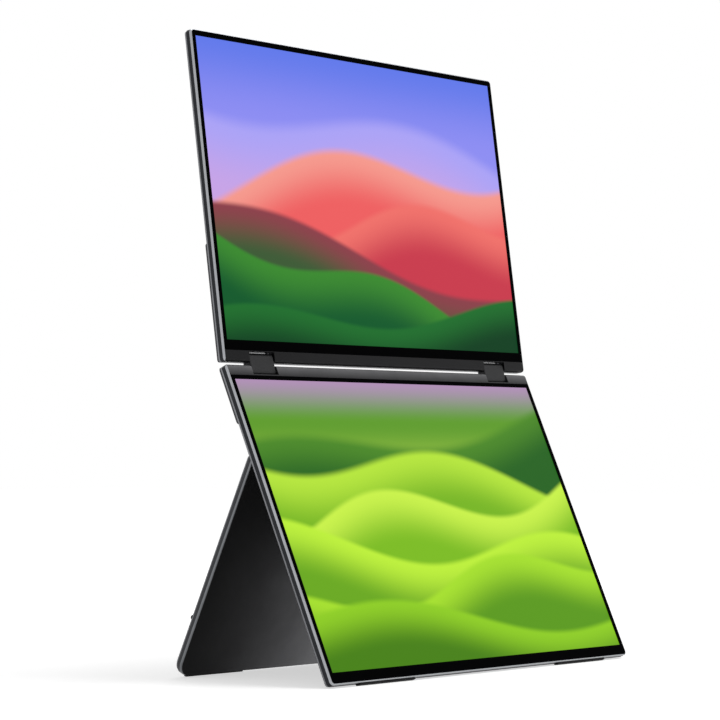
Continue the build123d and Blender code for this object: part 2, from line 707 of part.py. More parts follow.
def button_board(display):
    """The small board under the buttons."""
    across = (SWITCH_FACE - BUTTON_BOARD_W, SWITCH_FACE)
    with BuildPart() as board:
        slab(display, across, BUTTON_BOARD, (FLOOR - BOARD_T, FLOOR))
    save(board.part, f"{display.name}_button_board")


def button_switches(display):
    """The push switches behind the power button and behind each end of the rocker."""
    with BuildPart() as switches:
        for reach in (POWER_REACH, ROCKER_REACH - ROCKER_SWITCH_X, ROCKER_REACH + ROCKER_SWITCH_X):
            seat = FLOOR - BOARD_T
            across = (SWITCH_FACE - SWITCH_W, SWITCH_FACE)
            slab(display, across, around(reach, SWITCH_L), (seat - SWITCH_T, seat))
    save(switches.part, f"{display.name}_button_switches")


def hinge_shafts(name, up):
    """The two hinge shafts of a display, each with a collar at its washers and a thin tip in the end cap."""
    with BuildPart() as shafts:
        for side in (-1, 1):
            rod(link, (up, 0), on_side(side, (BRACKET_IN, COLLAR_START)), SHAFT_R)
            rod(link, (up, 0), on_side(side, (COLLAR_START, COLLAR_END)), COLLAR_R)
            rod(link, (up, 0), on_side(side, (COLLAR_END, CAP_BORE_END - FIT)), TIP_R)
    save(shafts.part, f"{name}_hinge_shafts")


def block_shape(across, radius, mode=Mode.ADD):
    """The long round-ended outline of a hinge block, run along X."""
    with BuildSketch(link.section(across[0])) as outline:
        with Locations((AXIS_SPACING / 2, 0)):
            SlotCenterToCenter(AXIS_SPACING, 2 * radius)
    extrude(outline.sketch, amount=length(across), mode=mode)


def hinge_housing(side, name):
    """A hinge block: two shaft bores, each with a pocket for its washers, and a hole for the cap screw."""
    with BuildPart() as housing:
        block_shape(on_side(side, (BLOCK_IN, CAP_IN)), BLOCK_R)
        inner_end = housing.faces().sort_by(Axis((0, 0, 0), (side, 0, 0)))[0]
        fillet(inner_end.edges(), BLOCK_EDGE_R)
        for up in (0, AXIS_SPACING):
            rod(link, (up, 0), on_side(side, (POCKET_IN, CAP_IN)), WASHER_R + POCKET_ROOM, Mode.SUBTRACT)
            rod(link, (up, 0), on_side(side, (BLOCK_IN, POCKET_IN)), SHAFT_R + RUN_FIT, Mode.SUBTRACT)
        hole = on_side(side, (CAP_IN - CAP_SCREW_L - FIT, CAP_IN))
        rod(link, (AXIS_SPACING / 2, 0), hole, SCREW_R + FIT, Mode.SUBTRACT)
    save(housing.part, f"hinge_housing_{name}")


def hinge_end_caps():
    """The plates that close the washer pockets and carry the shaft tips."""
    with BuildPart() as caps:
        for side in (-1, 1):
            block_shape(on_side(side, (CAP_IN, BLOCK_OUT)), BLOCK_R)
        for end in (caps.faces().sort_by(Axis.X)[0], caps.faces().sort_by(Axis.X)[-1]):
            fillet(end.edges(), BLOCK_EDGE_R)
        for side in (-1, 1):
            for up in (0, AXIS_SPACING):
                rod(link, (up, 0), on_side(side, (CAP_IN, CAP_BORE_END)), TIP_R + RUN_FIT, Mode.SUBTRACT)
            middle_up = (AXIS_SPACING / 2, 0)
            rod(link, middle_up, on_side(side, (CAP_IN, BLOCK_OUT)), SCREW_R + FIT, Mode.SUBTRACT)
            rod(link, middle_up, on_side(side, (BLOCK_OUT - HEAD_T, BLOCK_OUT)), HEAD_R + FIT, Mode.SUBTRACT)
    save(caps.part, "hinge_end_caps")


def hinge_cap_screws():
    """The flush screws that hold the end caps, one in each hinge block."""
    with BuildPart() as group:
        for side in (-1, 1):
            middle_up = (AXIS_SPACING / 2, 0)
            rod(link, middle_up, on_side(side, (BLOCK_OUT - HEAD_T, BLOCK_OUT)), HEAD_R)
            rod(link, middle_up, on_side(side, (CAP_IN - CAP_SCREW_L, BLOCK_OUT - HEAD_T)), SCREW_R)
    save(group.part, "hinge_cap_screws")


def hinge_friction_washers():
    """The spring washers on each shaft, which make the hinge stiff."""
    with BuildPart() as washers:
        for side in (-1, 1):
            for row in range(WASHERS):
                start = POCKET_IN + FIT + row * WASHER_STEP
                across = on_side(side, (start, start + WASHER_T))
                for up in (0, AXIS_SPACING):
                    rod(link, (up, 0), across, WASHER_R)
                    rod(link, (up, 0), across, SHAFT_R + RUN_FIT, Mode.SUBTRACT)
    save(washers.part, "hinge_friction_washers")


def lower_rubber_feet():
    """The two rubber strips under the lower display, cut flat where they meet the floor."""
    with BuildPart() as feet:
        for side in (-1, 1):
            far = PANEL_W / 2 - FOOT_FROM_SIDE
            reach = (PANEL_H, PANEL_H + FOOT_PROUD)
            slab(lower, on_side(side, (far - FOOT_L, far)), reach, (FOOT_FRONT, FOOT_BACK))
        split(bisect_by=Plane.XY, keep=Keep.TOP)
    save(feet.part, "lower_rubber_feet")


def lugs(side):
    """Spans across the two fixed lugs of a stand hinge."""
    offset = KNUCKLE_W / 2 + LUG_GAP + LUG_W / 2
    return [around(side * STAND_HINGE_X + way * offset, LUG_W) for way in (-1, 1)]


def stand_hinge_brackets():
    """The brackets inside the lower display whose lugs reach out of its back to hold the stand."""
    pivot = lower.at(PIVOT_REACH, PIVOT_DEPTH)
    base_half = STAND_HINGE_HALF + BASE_EDGE
    with BuildPart() as brackets:
        for side in (-1, 1):
            base = around(side * STAND_HINGE_X, 2 * base_half)
            slab(lower, base, around(PIVOT_REACH, BASE_H), (FLOOR - BASE_T, FLOOR))
            for across in lugs(side):
                slab(lower, across, around(PIVOT_REACH, STAND_T), (FLOOR - BASE_T, PIVOT_DEPTH))
                rod(lower, pivot, across, STAND_T / 2)
                rod(lower, pivot, across, STAND_PIN_R + FIT / 2, Mode.SUBTRACT)
            holes = stand_base_spots(side)
            discs(lower, holes, SCREW_R + FIT, (FLOOR - BASE_T, FLOOR), Mode.SUBTRACT)
    save(brackets.part, "stand_hinge_brackets")


def stand_bracket_screws():
    """The flush screws that hold the stand brackets, put in from the back."""
    with BuildPart() as group:
        for side in (-1, 1):
            spots = stand_base_spots(side)
            discs(lower, spots, HEAD_R, (BODY_T - BASE_SCREW_HEAD_T, BODY_T))
            discs(lower, spots, SCREW_R, (FLOOR - BASE_T, BODY_T - BASE_SCREW_HEAD_T))
    save(group.part, "stand_bracket_screws")


def stand_hinge_pins():
    """The pins that the stand turns on."""
    with BuildPart() as pins:
        for side in (-1, 1):
            across = around(side * STAND_HINGE_X, 2 * STAND_HINGE_HALF)
            rod(lower, lower.at(PIVOT_REACH, PIVOT_DEPTH), across, STAND_PIN_R)
    save(pins.part, "stand_hinge_pins")


def stand_plate(depth, edge=0, taper=0, mode=Mode.ADD):
    """A plate of the stand with round lower corners, its sides set in by edge."""
    reach = (-OVERRUN - STAND_CORNER_R, STAND_L)
    slab(stand, grown(STAND_SPAN, -edge), reach, depth, STAND_CORNER_R, taper, mode)


def stand_cut_outs(depth):
    """Rounds a stand plate about its pivot at the top, and frees the two hinges."""
    cut = Mode.SUBTRACT
    past = -2 * OVERRUN - STAND_CORNER_R
    across = grown(STAND_SPAN, OVERRUN)
    with BuildSketch(stand.section(across[0])) as outline:
        Circle(STAND_T / 2)
        with Locations((-STAND_L, 0)):
            Rectangle(2 * STAND_L, STAND_T)
    extrude(outline.sketch, amount=length(across), mode=Mode.INTERSECT)
    for side in (-1, 1):
        lug_room = around(side * STAND_HINGE_X, 2 * (STAND_HINGE_HALF + LUG_GAP))
        slab(stand, lug_room, (past, STAND_T / 2 + LUG_GAP), depth, mode=cut)
        knuckle = around(side * STAND_HINGE_X, KNUCKLE_W + 2 * FIT)
        slab(stand, knuckle, (past, KNUCKLE_L + FIT), depth, mode=cut)


def knuckle_spots(side):
    """Screw places of a stand knuckle."""
    row = (KNUCKLE_L + TONGUE_REACH) / 2
    return [(side * STAND_HINGE_X + x * STAND_SCREWS_X / 2, row) for x in (-1, 1)]


def stand_core_plate():
    """The bright metal plate of the stand, which carries its sheet, skin, hinges and feet."""
    with BuildPart() as core:
        stand_plate((0, CORE_T))
        front = core.faces().sort_by(Axis(stand.origin, stand.front))[-1]
        chamfer(front.edges(), CORE_CHAMFER)
        stand_cut_outs((0, CORE_T))
        stand_plate((0, SHEET_T), SHEET_EDGE, mode=Mode.SUBTRACT)
        for side in (-1, 1):
            discs(stand, knuckle_spots(side), SCREW_R + FIT, (STAND_SCREW_TIP - FIT, CORE_T), Mode.SUBTRACT)
    save(core.part, "stand_core_plate")


def stand_front_sheet():
    """The thin black sheet on the stand's inner face, which runs out over its lower edge."""
    with BuildPart() as sheet:
        stand_plate((0, SHEET_T), SHEET_EDGE + FIT)
        above = (-2 * OVERRUN - STAND_CORNER_R, 0)
        slab(stand, STAND_SPAN, above, (0, SHEET_T), mode=Mode.SUBTRACT)
        stand_cut_outs((0, SHEET_T))
    save(sheet.part, "stand_front_sheet")


def stand_back_skin():
    """The dark outer shell of the stand, hollowed for the hinge tongues and their screws."""
    bevel = degrees(atan(STAND_BEVEL_IN / STAND_BEVEL_T))
    straight = STAND_T - STAND_BEVEL_T
    with BuildPart() as skin:
        stand_plate((CORE_T, straight))
        stand_plate((straight, STAND_T), taper=bevel)
        stand_cut_outs((CORE_T, STAND_T))
        pocket_end = CORE_T + STAND_TONGUE_T + FIT
        for side in (-1, 1):
            tongue = around(side * STAND_HINGE_X, KNUCKLE_W + 2 * FIT)
            slab(stand, tongue, (0, TONGUE_REACH + FIT), (CORE_T, pocket_end), mode=Mode.SUBTRACT)
            head_end = pocket_end + HEAD_T
            discs(stand, knuckle_spots(side), HEAD_R + FIT, (pocket_end, head_end), Mode.SUBTRACT)
    save(skin.part, "stand_back_skin")


def stand_knuckles():
    """The knuckles that turn on the hinge pins, each with a tongue screwed to the core plate."""
    with BuildPart() as knuckles:
        for side in (-1, 1):
            across = around(side * STAND_HINGE_X, KNUCKLE_W)
            rod(stand, (0, 0), across, STAND_T / 2)
            slab(stand, across, (0, KNUCKLE_L), (0, STAND_T))
            slab(stand, across, (KNUCKLE_L, TONGUE_REACH), (CORE_T, CORE_T + STAND_TONGUE_T))
            rod(stand, (0, 0), across, STAND_PIN_R + RUN_FIT, Mode.SUBTRACT)
            hole = (CORE_T, CORE_T + STAND_TONGUE_T)
            discs(stand, knuckle_spots(side), SCREW_R + FIT, hole, Mode.SUBTRACT)
    save(knuckles.part, "stand_knuckles")


def stand_knuckle_screws():
    """The screws from the knuckle tongues into the core plate."""
    seat = CORE_T + STAND_TONGUE_T
    with BuildPart() as group:
        for side in (-1, 1):
            discs(stand, knuckle_spots(side), HEAD_R, (seat, seat + HEAD_T))
            discs(stand, knuckle_spots(side), SCREW_R, (STAND_SCREW_TIP, seat))
    save(group.part, "stand_knuckle_screws")


def stand_rubber_feet():
    """The rubber feet at the lower corners of the stand, cut flat where they meet the floor."""
    with BuildPart() as feet:
        for side in (-1, 1):
            far = STAND_HALF - STAND_CORNER_R
            across = on_side(side, (far - STAND_FOOT_L, far))
            slab(stand, across, (STAND_L, LEG), (STAND_FOOT_FRONT, STAND_FOOT_BACK))
        split(bisect_by=Plane.XY, keep=Keep.TOP)
    save(feet.part, "stand_rubber_feet")


def stand_bumpers():
    """The small rubber bumpers on the outer face of the stand, near its sides."""
    with BuildPart() as bumpers:
        for side in (-1, 1):
            far = STAND_HALF - STAND_BEVEL_IN - BUMPER_FROM_SIDE
            across = on_side(side, (far - BUMPER_W, far))
            slab(stand, across, around(BUMPER_REACH, BUMPER_L), (STAND_T, STAND_T + BUMPER_PROUD), BUMPER_R)
    save(bumpers.part, "stand_bumpers")


def display_pieces(display):
    """Every piece of one display."""
    trim_frame(display)
    front_bezel(display)
    lcd_cell(display)
    backlight_tray(display)
    hinge_strip(display)
    back_cover(display)
    main_board(display)
    usb_sockets(display)
    hdmi_socket(display)
    display_ribbon(display)
    speakers(display)
    hinge_brackets(display)
    screw_end = BULGE_FLOOR + SCREW_BITE
    screws(display, leaf_spots(-1) + leaf_spots(1), LEAF_BACK - LEAF_T, screw_end, "bracket_screws")
    screws(display, board_spots(display), BOARD_FRONT, screw_end, "board_screws")
    power_button(display)
    menu_rocker(display)
    button_board(display)
    button_switches(display)


os.makedirs("parts", exist_ok=True)
for display in (lower, upper):
    display_pieces(display)
hinge_shafts("lower", 0)
hinge_shafts("upper", AXIS_SPACING)
hinge_housing(-1, "left")
hinge_housing(1, "right")
hinge_end_caps()
hinge_cap_screws()
hinge_friction_washers()
lower_rubber_feet()
stand_hinge_brackets()
stand_bracket_screws()
stand_hinge_pins()
stand_core_plate()
stand_front_sheet()
stand_back_skin()
stand_knuckles()
stand_knuckle_screws()
stand_rubber_feet()
stand_bumpers()

# Places that the motion needs, in millimetres and degrees
print("lower hinge axis", lower.origin)
print("upper hinge axis", upper.origin)
print("stand pivot", stand.origin, "stand lean", STAND_LEAN, "angle at the pivot", STAND_LEAN + LOWER_TILT)
for display in (lower, upper):
    x, reach = rocker_pivot()
    place = display.layer(BUTTON_DEPTH).from_local_coords(Vector(x, display.at(reach, 0)[0], 0))
    print(display.name, "rocker pivot", place, "axis", display.front)
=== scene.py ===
"""Looks of a folding monitor with stacked screens: finishes, pictures, port contacts, screws and studio."""

import json
import math

import bpy
from mathutils import Matrix, Vector


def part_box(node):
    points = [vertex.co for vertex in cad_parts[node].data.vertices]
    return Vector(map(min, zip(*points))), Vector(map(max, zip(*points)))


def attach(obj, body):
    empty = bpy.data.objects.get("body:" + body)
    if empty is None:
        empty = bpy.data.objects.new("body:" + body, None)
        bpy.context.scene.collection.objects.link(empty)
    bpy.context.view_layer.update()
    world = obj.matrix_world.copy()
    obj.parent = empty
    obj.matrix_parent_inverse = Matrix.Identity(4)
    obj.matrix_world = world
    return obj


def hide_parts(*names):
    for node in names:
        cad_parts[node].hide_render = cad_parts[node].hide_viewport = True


bl_info = {
    "name": "Folding monitor looks",
    "version": (1, 0, 0),
    "blender": (4, 5, 0),
    "location": "3D View > Sidebar > Monitor",
    "description": "Finishes the packed folding monitor and sets up the studio around it",
    "category": "Object",
}

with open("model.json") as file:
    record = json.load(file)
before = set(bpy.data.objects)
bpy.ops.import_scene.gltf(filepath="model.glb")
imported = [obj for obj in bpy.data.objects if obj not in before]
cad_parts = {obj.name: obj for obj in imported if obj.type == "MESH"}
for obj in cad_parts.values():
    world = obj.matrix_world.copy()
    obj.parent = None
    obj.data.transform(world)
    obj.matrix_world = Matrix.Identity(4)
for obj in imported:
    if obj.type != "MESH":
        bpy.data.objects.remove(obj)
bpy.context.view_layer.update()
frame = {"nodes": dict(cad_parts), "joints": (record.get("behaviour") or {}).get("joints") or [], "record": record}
JOINTS = {joint["name"]: joint for joint in frame["joints"]}
MOUNTS = {mount["name"]: mount for mount in frame["record"]["mounts"]}
MM = 0.001
DISPLAYS = ("lower", "upper")

# Kinds of node that many trees share, and the sockets of a colour Mix node
MATH = "ShaderNodeMath"
VECTOR_MATH = "ShaderNodeVectorMath"
RANGE = "ShaderNodeMapRange"
MAPPING = "ShaderNodeMapping"
SEPARATE = "ShaderNodeSeparateXYZ"
NOISE = "ShaderNodeTexNoise"
MIX = "ShaderNodeMix"
FACTOR, FIRST, SECOND, MIXED = 0, 6, 7, 2

# Most values of a noise lie in this span. The others set how far a grain or a patch of colour breaks up,
# and how much of a grain's height is felt.
NOISE_SPAN = {"From Min": 0.3, "From Max": 0.7}
GRAIN_DETAIL = {"Detail": 3.0, "Roughness": 0.55}
GRAIN_STRENGTH = 0.35
PATCH_DETAIL = 2.0

# A band of colour stops this far short of a face's own depth, so that rounding can't tint the whole face.
BAND_MARGIN = 0.15 * MM
# Share of metal in the stand's sheet where its painted reflection is strongest
SHEEN_METAL = 0.48

# Circuit boards: tone of every other patch of resist, and the tracks' width as a share of their pitch
RESIST_SHADE = 0.8
TRACK_SHARE = 0.03

# Contacts on each face of a port's tongue
SMALL_PORT_CONTACTS = 10
VIDEO_PORT_CONTACTS = 14

# Screws: sides of the round, the drive recess with its lobes, their swing and its share of the head, and how
# close together points are merged
SCREW_SIDES = 48
LOBES = 6.0
LOBE_SWING = 0.14
RECESS_WIDTH = 0.55
RECESS_DEPTH = 0.7
MERGE_WITHIN = 0.001 * MM

# Studio: lamps as (name, place, point aimed at, width) in metres, and the camera's sensor and reach
KEY_LAMP = ("Key", (0.45, -0.6, 2.8), (0, 0, 0.15), 1.2)
FILL_LAMP = ("Overhead", (1.1, 0.6, 1.9), (0, 0, 0), 1.0)
SENSOR_MM = 36
CAMERA_REACH = 50
WHITE = "ffffff"


def display_lean(name):
    """How far a display leans back, read from the rocker's axis, which is square to its front face."""
    _, y, z = JOINTS[f"{name}_menu_tip"]["axis"]
    return math.atan2(z, -y)


# Each leaf is a flat part of the monitor that leans by its own angle about a hinge axis. At its lower limit
# the stand lies flat against the lower display.
LEAN = {name: display_lean(name) for name in DISPLAYS}
LEAN["stand"] = LEAN["lower"] + math.radians(JOINTS["stand_fold"]["range_deg"][0])
AXIS = {leaf: Vector(JOINTS[f"{leaf}_fold"]["pos_m"]) for leaf in (*DISPLAYS, "stand")}


def linear(code):
    """A hex colour, as it is seen on a screen, in the linear values that shaders use."""
    parts = [int(code[at : at + 2], 16) / 255 for at in (0, 2, 4)]
    curve = [part / 12.92 if part <= 0.04045 else ((part + 0.055) / 1.055) ** 2.4 for part in parts]
    return (*curve, 1.0)


def colour(label, words, code):
    """A colour that a user may change, given as hex."""
    return bpy.props.FloatVectorProperty(
        name=label, description=words, subtype="COLOR", size=4, min=0, max=1, default=linear(code)
    )


def size(label, words, value):
    """A length that a user may change, in metres."""
    return bpy.props.FloatProperty(
        name=label, description=words, subtype="DISTANCE", unit="LENGTH", min=0, precision=5, default=value
    )


class MonitorFinish(bpy.types.PropertyGroup):
    """Colours of the monitor's own parts."""

    shell: colour("Shell", "Dyed aluminium of the back covers", "2b2c2f")
    # The bevel colour is a painted highlight: a lighter band where the bevel would catch the light.
    bevel_highlight: colour("Shell bevel", "Bright-cut bevel around the back covers", "7c7d81")
    trim: colour("Trim", "Satin aluminium of the trim frames", "a4a6aa")
    bezel: colour("Bezel", "Black border around the pictures", "040405")
    # The two strips are one finish in lit and shaded copies, and the lower strip's edge tone is a painted
    # highlight.
    upper_strip_shaded: colour("Upper hinge strip", "Brushed strip along the upper display's hinge edge", "121214")
    lower_strip_lit: colour("Lower hinge strip", "Brushed strip along the lower display's hinge edge", "262628")
    lower_strip_highlight: colour("Lower strip edge", "The lower strip towards its rounded edge", "6a6a6c")
    hinge: colour("Hinge block", "Painted die-cast hinge blocks and stand knuckles", "222224")
    stand_edge: colour("Stand edge", "Satin aluminium of the stand's core plate", "747679")
    stand_skin: colour("Stand skin", "Textured plastic of the stand's outer face", "3a3b3e")
    stand_sheet: colour("Stand sheet", "Black coat of the sheet on the stand's inner face", "111112")
    # This colour is a painted reflection that lightens the sheet towards the stand's lower middle.
    stand_sheet_sheen: colour("Worn sheet", "The same sheet where its coat is rubbed thin", "a1a1a4")
    rubber: colour("Rubber", "Feet and bumpers", "121212")
    button: colour("Buttons", "Moulded buttons", "1d1d1f")
    steel: colour("Steel", "Plain steel of hinges, sockets and screws", "a3a4a6")
    gold: colour("Contacts", "Gilt contacts in the ports", "d6a84c")
    board: colour("Circuit board", "Solder resist on the boards", "16502c")
    tracks: colour("Board tracks", "Copper tracks under the solder resist", "3f8a52")
    light_guide: colour("Light guide", "White tray behind each picture", "d9d9d4")
    ribbon: colour("Ribbon", "Film of the flat cables", "8a5a1e")
    unlit: colour("Unlit picture", "Dark glass of the pictures when they give no light", "0a0a0b")


class MonitorSizes(bpy.types.PropertyGroup):
    """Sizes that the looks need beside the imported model."""

    cover_depth: size("Cover depth", "From a display's front face to the back of its bulge", 8.8 * MM)
    body_depth: size("Body depth", "From a display's front face to the back of its thin body", 6.6 * MM)
    bevel_start: size("Bevel start", "Depth at which the back cover's bevel starts", 4.8 * MM)
    stand_depth: size("Stand depth", "Thickness of the stand", 5.0 * MM)
    stand_bevel: size("Stand bevel", "Depth at which the stand's outer bevel starts", 3.8 * MM)
    # These two set where a strip's painted highlight starts and where it fades into the plain tone.
    strip_edge: size("Strip edge", "From the hinge axis out to a hinge strip's rounded edge", 3.6 * MM)
    strip_highlight_run: size("Strip run", "From the hinge axis in to where a strip has its plain tone", 4.9 * MM)
    # These two set how far the painted reflection on the stand's sheet reaches.
    sheen_from: size("Worn from", "From the stand's middle out to where its sheet is black", 180.0 * MM)
    sheen_down: size("Worn down", "From the stand's pivot down to where its sheet is most worn", 100.0 * MM)
    picture_width: size("Picture width", "Width of each picture", 344.7 * MM)
    contact_pitch: size("Contact pitch", "Spacing of the contacts in a small port", 0.5 * MM)
    contact_length: size("Contact length", "Visible length of a contact", 3.0 * MM)
    contact_thickness: size("Contact thickness", "Thickness of a contact", 0.06 * MM)
    contact_faces: size("Contact faces", "Between the contacts on a tongue's two faces", 0.74 * MM)
    contact_inset: size("Contact inset", "From a port's mouth in to the middle of its contacts", 4.0 * MM)
    track_pitch: size("Track pitch", "Spacing of the tracks on the boards", 6.0 * MM)
    screw_radius: size("Screw head radius", "Radius of the stand brackets' screw heads", 1.5 * MM)
    screw_head: size("Screw head height", "Height of the stand brackets' screw heads", 0.6 * MM)
    screw_shank: size("Screw shank length", "Length of those screws below the head", 1.4 * MM)
    screw_forward: size("Screw forward", "From the stand's pivot forward to the screws' faces", 2.8 * MM)
    screw_step: size("Screw step", "Between the two screws of a stand hinge", 28.8 * MM)
    stand_hinge_step: size("Stand hinge step", "Between the middles of the two stand hinges", 227.7 * MM)


class MonitorStudio(bpy.types.PropertyGroup):
    """Camera, floor and light."""

    lens: bpy.props.FloatProperty(
        name="Lens", description="Focal length on a 36 mm sensor", unit="CAMERA", min=10, default=137.7
    )
    camera_place: bpy.props.FloatVectorProperty(
        name="Camera place",
        description="Where the camera stands, counted from the middle of the lower hinge axis",
        subtype="TRANSLATION",
        unit="LENGTH",
        default=(-1.5904, -1.26054, -0.05573),
    )
    camera_aim: bpy.props.FloatVectorProperty(
        name="Camera aim",
        description="Direction the camera looks in",
        subtype="DIRECTION",
        default=(0.77812, 0.62722, 0.0333),
    )
    floor_size: size("Floor size", "Side of the square floor", 14.0)
    floor: colour("Floor", "Pale studio floor", "f2f2f2")
    floor_glow: bpy.props.FloatProperty(
        name="Floor glow", description="Glow of the floor beside the object", min=0, max=1, default=0.58
    )
    far_glow: bpy.props.FloatProperty(
        name="Far glow", description="Glow of the floor far from the object", min=0, max=1, default=0.8
    )
    glow_start: size("Glow start", "From the object's middle to where the glow starts to rise", 0.4)
    glow_end: size("Glow end", "From the object's middle to where the far glow is reached", 1.6)
    surround: bpy.props.FloatProperty(
        name="Surround", description="Strength of the soft light from all around", min=0, max=2, default=0.3
    )
    key_power: bpy.props.FloatProperty(
        name="Key light",
        description="Power of the large light above and in front on the right",
        unit="POWER",
        min=0,
        default=22.0,
    )
    fill_power: bpy.props.FloatProperty(
        name="Fill light",
        description="Power of the light above and behind on the right",
        unit="POWER",
        min=0,
        default=5.0,
    )


def add_node(tree, kind, inputs=None, **settings):
    """Adds a node with its settings, and fills its inputs with values or other nodes' outputs."""
    node = tree.nodes.new(kind)
    for name, value in settings.items():
        setattr(node, name, value)
    for key, value in (inputs or {}).items():
        if isinstance(value, bpy.types.NodeSocket):
            tree.links.new(value, node.inputs[key])
        else:
            node.inputs[key].default_value = value
    return node


def new_material(name, **sockets):
    """A material with one Principled shader, whose sockets are set by name, with underscores for spaces."""
    material = bpy.data.materials.new(name)
    material.use_nodes = True
    shader = material.node_tree.nodes["Principled BSDF"]
    for key, value in sockets.items():
        shader.inputs[key.replace("_", " ")].default_value = value
    return material, material.node_tree, shader


def object_coordinates(tree):
    """Places in the shared frame, since every piece sits unturned at the origin."""
    return add_node(tree, "ShaderNodeTexCoord").outputs["Object"]


def leaf_coordinates(tree, leaf, centre):
    """Object coordinates turned upright for a leaf, from a centre: X across, Y in depth, Z up."""
    turned = Matrix.Rotation(LEAN[leaf], 3, "X") @ centre
    mapping = add_node(
        tree,
        MAPPING,
        {"Vector": object_coordinates(tree), "Location": -turned, "Rotation": (LEAN[leaf], 0, 0)},
    )
    return mapping.outputs["Vector"]


def front_point(leaf, depth):
    """The point on a leaf's front face beside its hinge axis, which lies at half the leaf's depth."""
    lean = LEAN[leaf]
    return AXIS[leaf] + Vector((0, -math.cos(lean), math.sin(lean))) * (depth / 2)


def grain(tree, shader, millimetres, height, rough, stretch=(1, 1, 1)):
    """Fine surface grain: a bump of the given width and height in mm, and roughness that varies with it."""
    vector = add_node(
        tree, MAPPING, {"Vector": object_coordinates(tree), "Scale": stretch}
    ).outputs["Vector"]
    noise = add_node(
        tree, NOISE, {"Vector": vector, "Scale": 1 / (millimetres * MM), **GRAIN_DETAIL}
    ).outputs["Fac"]
    low, high = rough
    varied = add_node(tree, RANGE, {"Value": noise, **NOISE_SPAN, "To Min": low, "To Max": high})
    tree.links.new(varied.outputs["Result"], shader.inputs["Roughness"])
    bump = add_node(
        tree, "ShaderNodeBump", {"Strength": GRAIN_STRENGTH, "Distance": height * MM, "Height": noise}
    )
    tree.links.new(bump.outputs["Normal"], shader.inputs["Normal"])


def vary(tree, shader, base, amount, millimetres):
    """Colour that drifts a little lighter and darker over patches of the given width in mm."""
    patches = add_node(
        tree,
        NOISE,
        {"Vector": object_coordinates(tree), "Scale": 1 / (millimetres * MM), "Detail": PATCH_DETAIL},
    ).outputs["Fac"]
    drift = add_node(
        tree, RANGE, {"Value": patches, **NOISE_SPAN, "To Min": 1 - amount, "To Max": 1 + amount}
    ).outputs["Result"]
    mixed = add_node(
        tree, MIX, {FACTOR: 1.0, FIRST: base, SECOND: drift}, data_type="RGBA", blend_type="MULTIPLY"
    )
    tree.links.new(mixed.outputs[MIXED], shader.inputs["Base Color"])


def depth_bands(tree, leaf, depth, bands):
    """Colour by depth behind a leaf's front face, as a list of (depth, colour) from front to back."""
    vector = leaf_coordinates(tree, leaf, front_point(leaf, depth))
    parts = add_node(tree, SEPARATE, {"Vector": vector})
    share = add_node(tree, RANGE, {"Value": parts.outputs["Y"], "From Min": 0.0, "From Max": depth})
    ramp = add_node(tree, "ShaderNodeValToRGB", {"Fac": share.outputs["Result"]})
    ramp.color_ramp.interpolation = "CONSTANT"
    stops = ramp.color_ramp.elements
    stops.remove(stops[1])
    for at, (start, shade) in enumerate(bands):
        stop = stops[0] if at == 0 else stops.new(start / depth)
        stop.position = start / depth
        stop.color = shade
    return ramp.outputs["Color"]


def anodised_shell(leaf, finish, sizes):
    """Dyed, bead-blasted aluminium: a soft dark sheen with fine grit, and a lighter band on the bevel that is a
    painted highlight.
    """
    material, tree, shader = new_material(f"Anodised aluminium shell {leaf}", Metallic=0.9)
    # The band from the bevel's start to the thin body's back is a painted highlight.
    bands = [
        (0.0, tuple(finish.shell)),
        (sizes.bevel_start, tuple(finish.bevel_highlight)),
        (sizes.body_depth - BAND_MARGIN, tuple(finish.shell)),
    ]
    # The blasted grit is about 0.1 mm, drawn at 0.5 mm so that it shows.
    grain(tree, shader, 0.5, 0.06, (0.36, 0.52))
    vary(tree, shader, depth_bands(tree, leaf, sizes.cover_depth, bands), 0.06, 18)
    return material


def stand_skin(finish, sizes):
    """Moulded ABS under metallic paint, with a fine eroded texture and a lighter band on its bevel that is a
    painted highlight.
    """
    material, tree, shader = new_material("Textured ABS stand skin", Metallic=0.6)
    # The band from the bevel's start to the back is a painted highlight.
    bands = [
        (0.0, tuple(finish.stand_skin)),
        (sizes.stand_bevel, tuple(finish.bevel_highlight)),
        (sizes.stand_depth - BAND_MARGIN, tuple(finish.stand_skin)),
    ]
    # The eroded texture is about 0.1 mm, drawn at 0.6 mm so that it shows.
    grain(tree, shader, 0.6, 0.1, (0.4, 0.58))
    vary(tree, shader, depth_bands(tree, "stand", sizes.stand_depth, bands), 0.06, 20)
    return material


def satin_aluminium(name, tone):
    """Clear-anodised aluminium, bead-blasted to a pale satin that blurs what it mirrors."""
    material, tree, shader = new_material(name, Metallic=1.0)
    # The blasted grit is about 0.1 mm, drawn at 0.4 mm so that it shows.
    grain(tree, shader, 0.4, 0.01, (0.34, 0.44))
    vary(tree, shader, tuple(tone), 0.05, 9)
    return material


def moulded_bezel(finish):
    """Black polycarbonate with a dead matt skin, so that almost no light shows on it."""
    material, tree, shader = new_material("Matt polycarbonate bezel", Specular_IOR_Level=0.004)
    # The matt skin of the mould is about 0.05 mm, drawn at 0.35 mm so that it shows.
    grain(tree, shader, 0.35, 0.01, (0.5, 0.62))
    vary(tree, shader, tuple(finish.bezel), 0.12, 6)
    return material


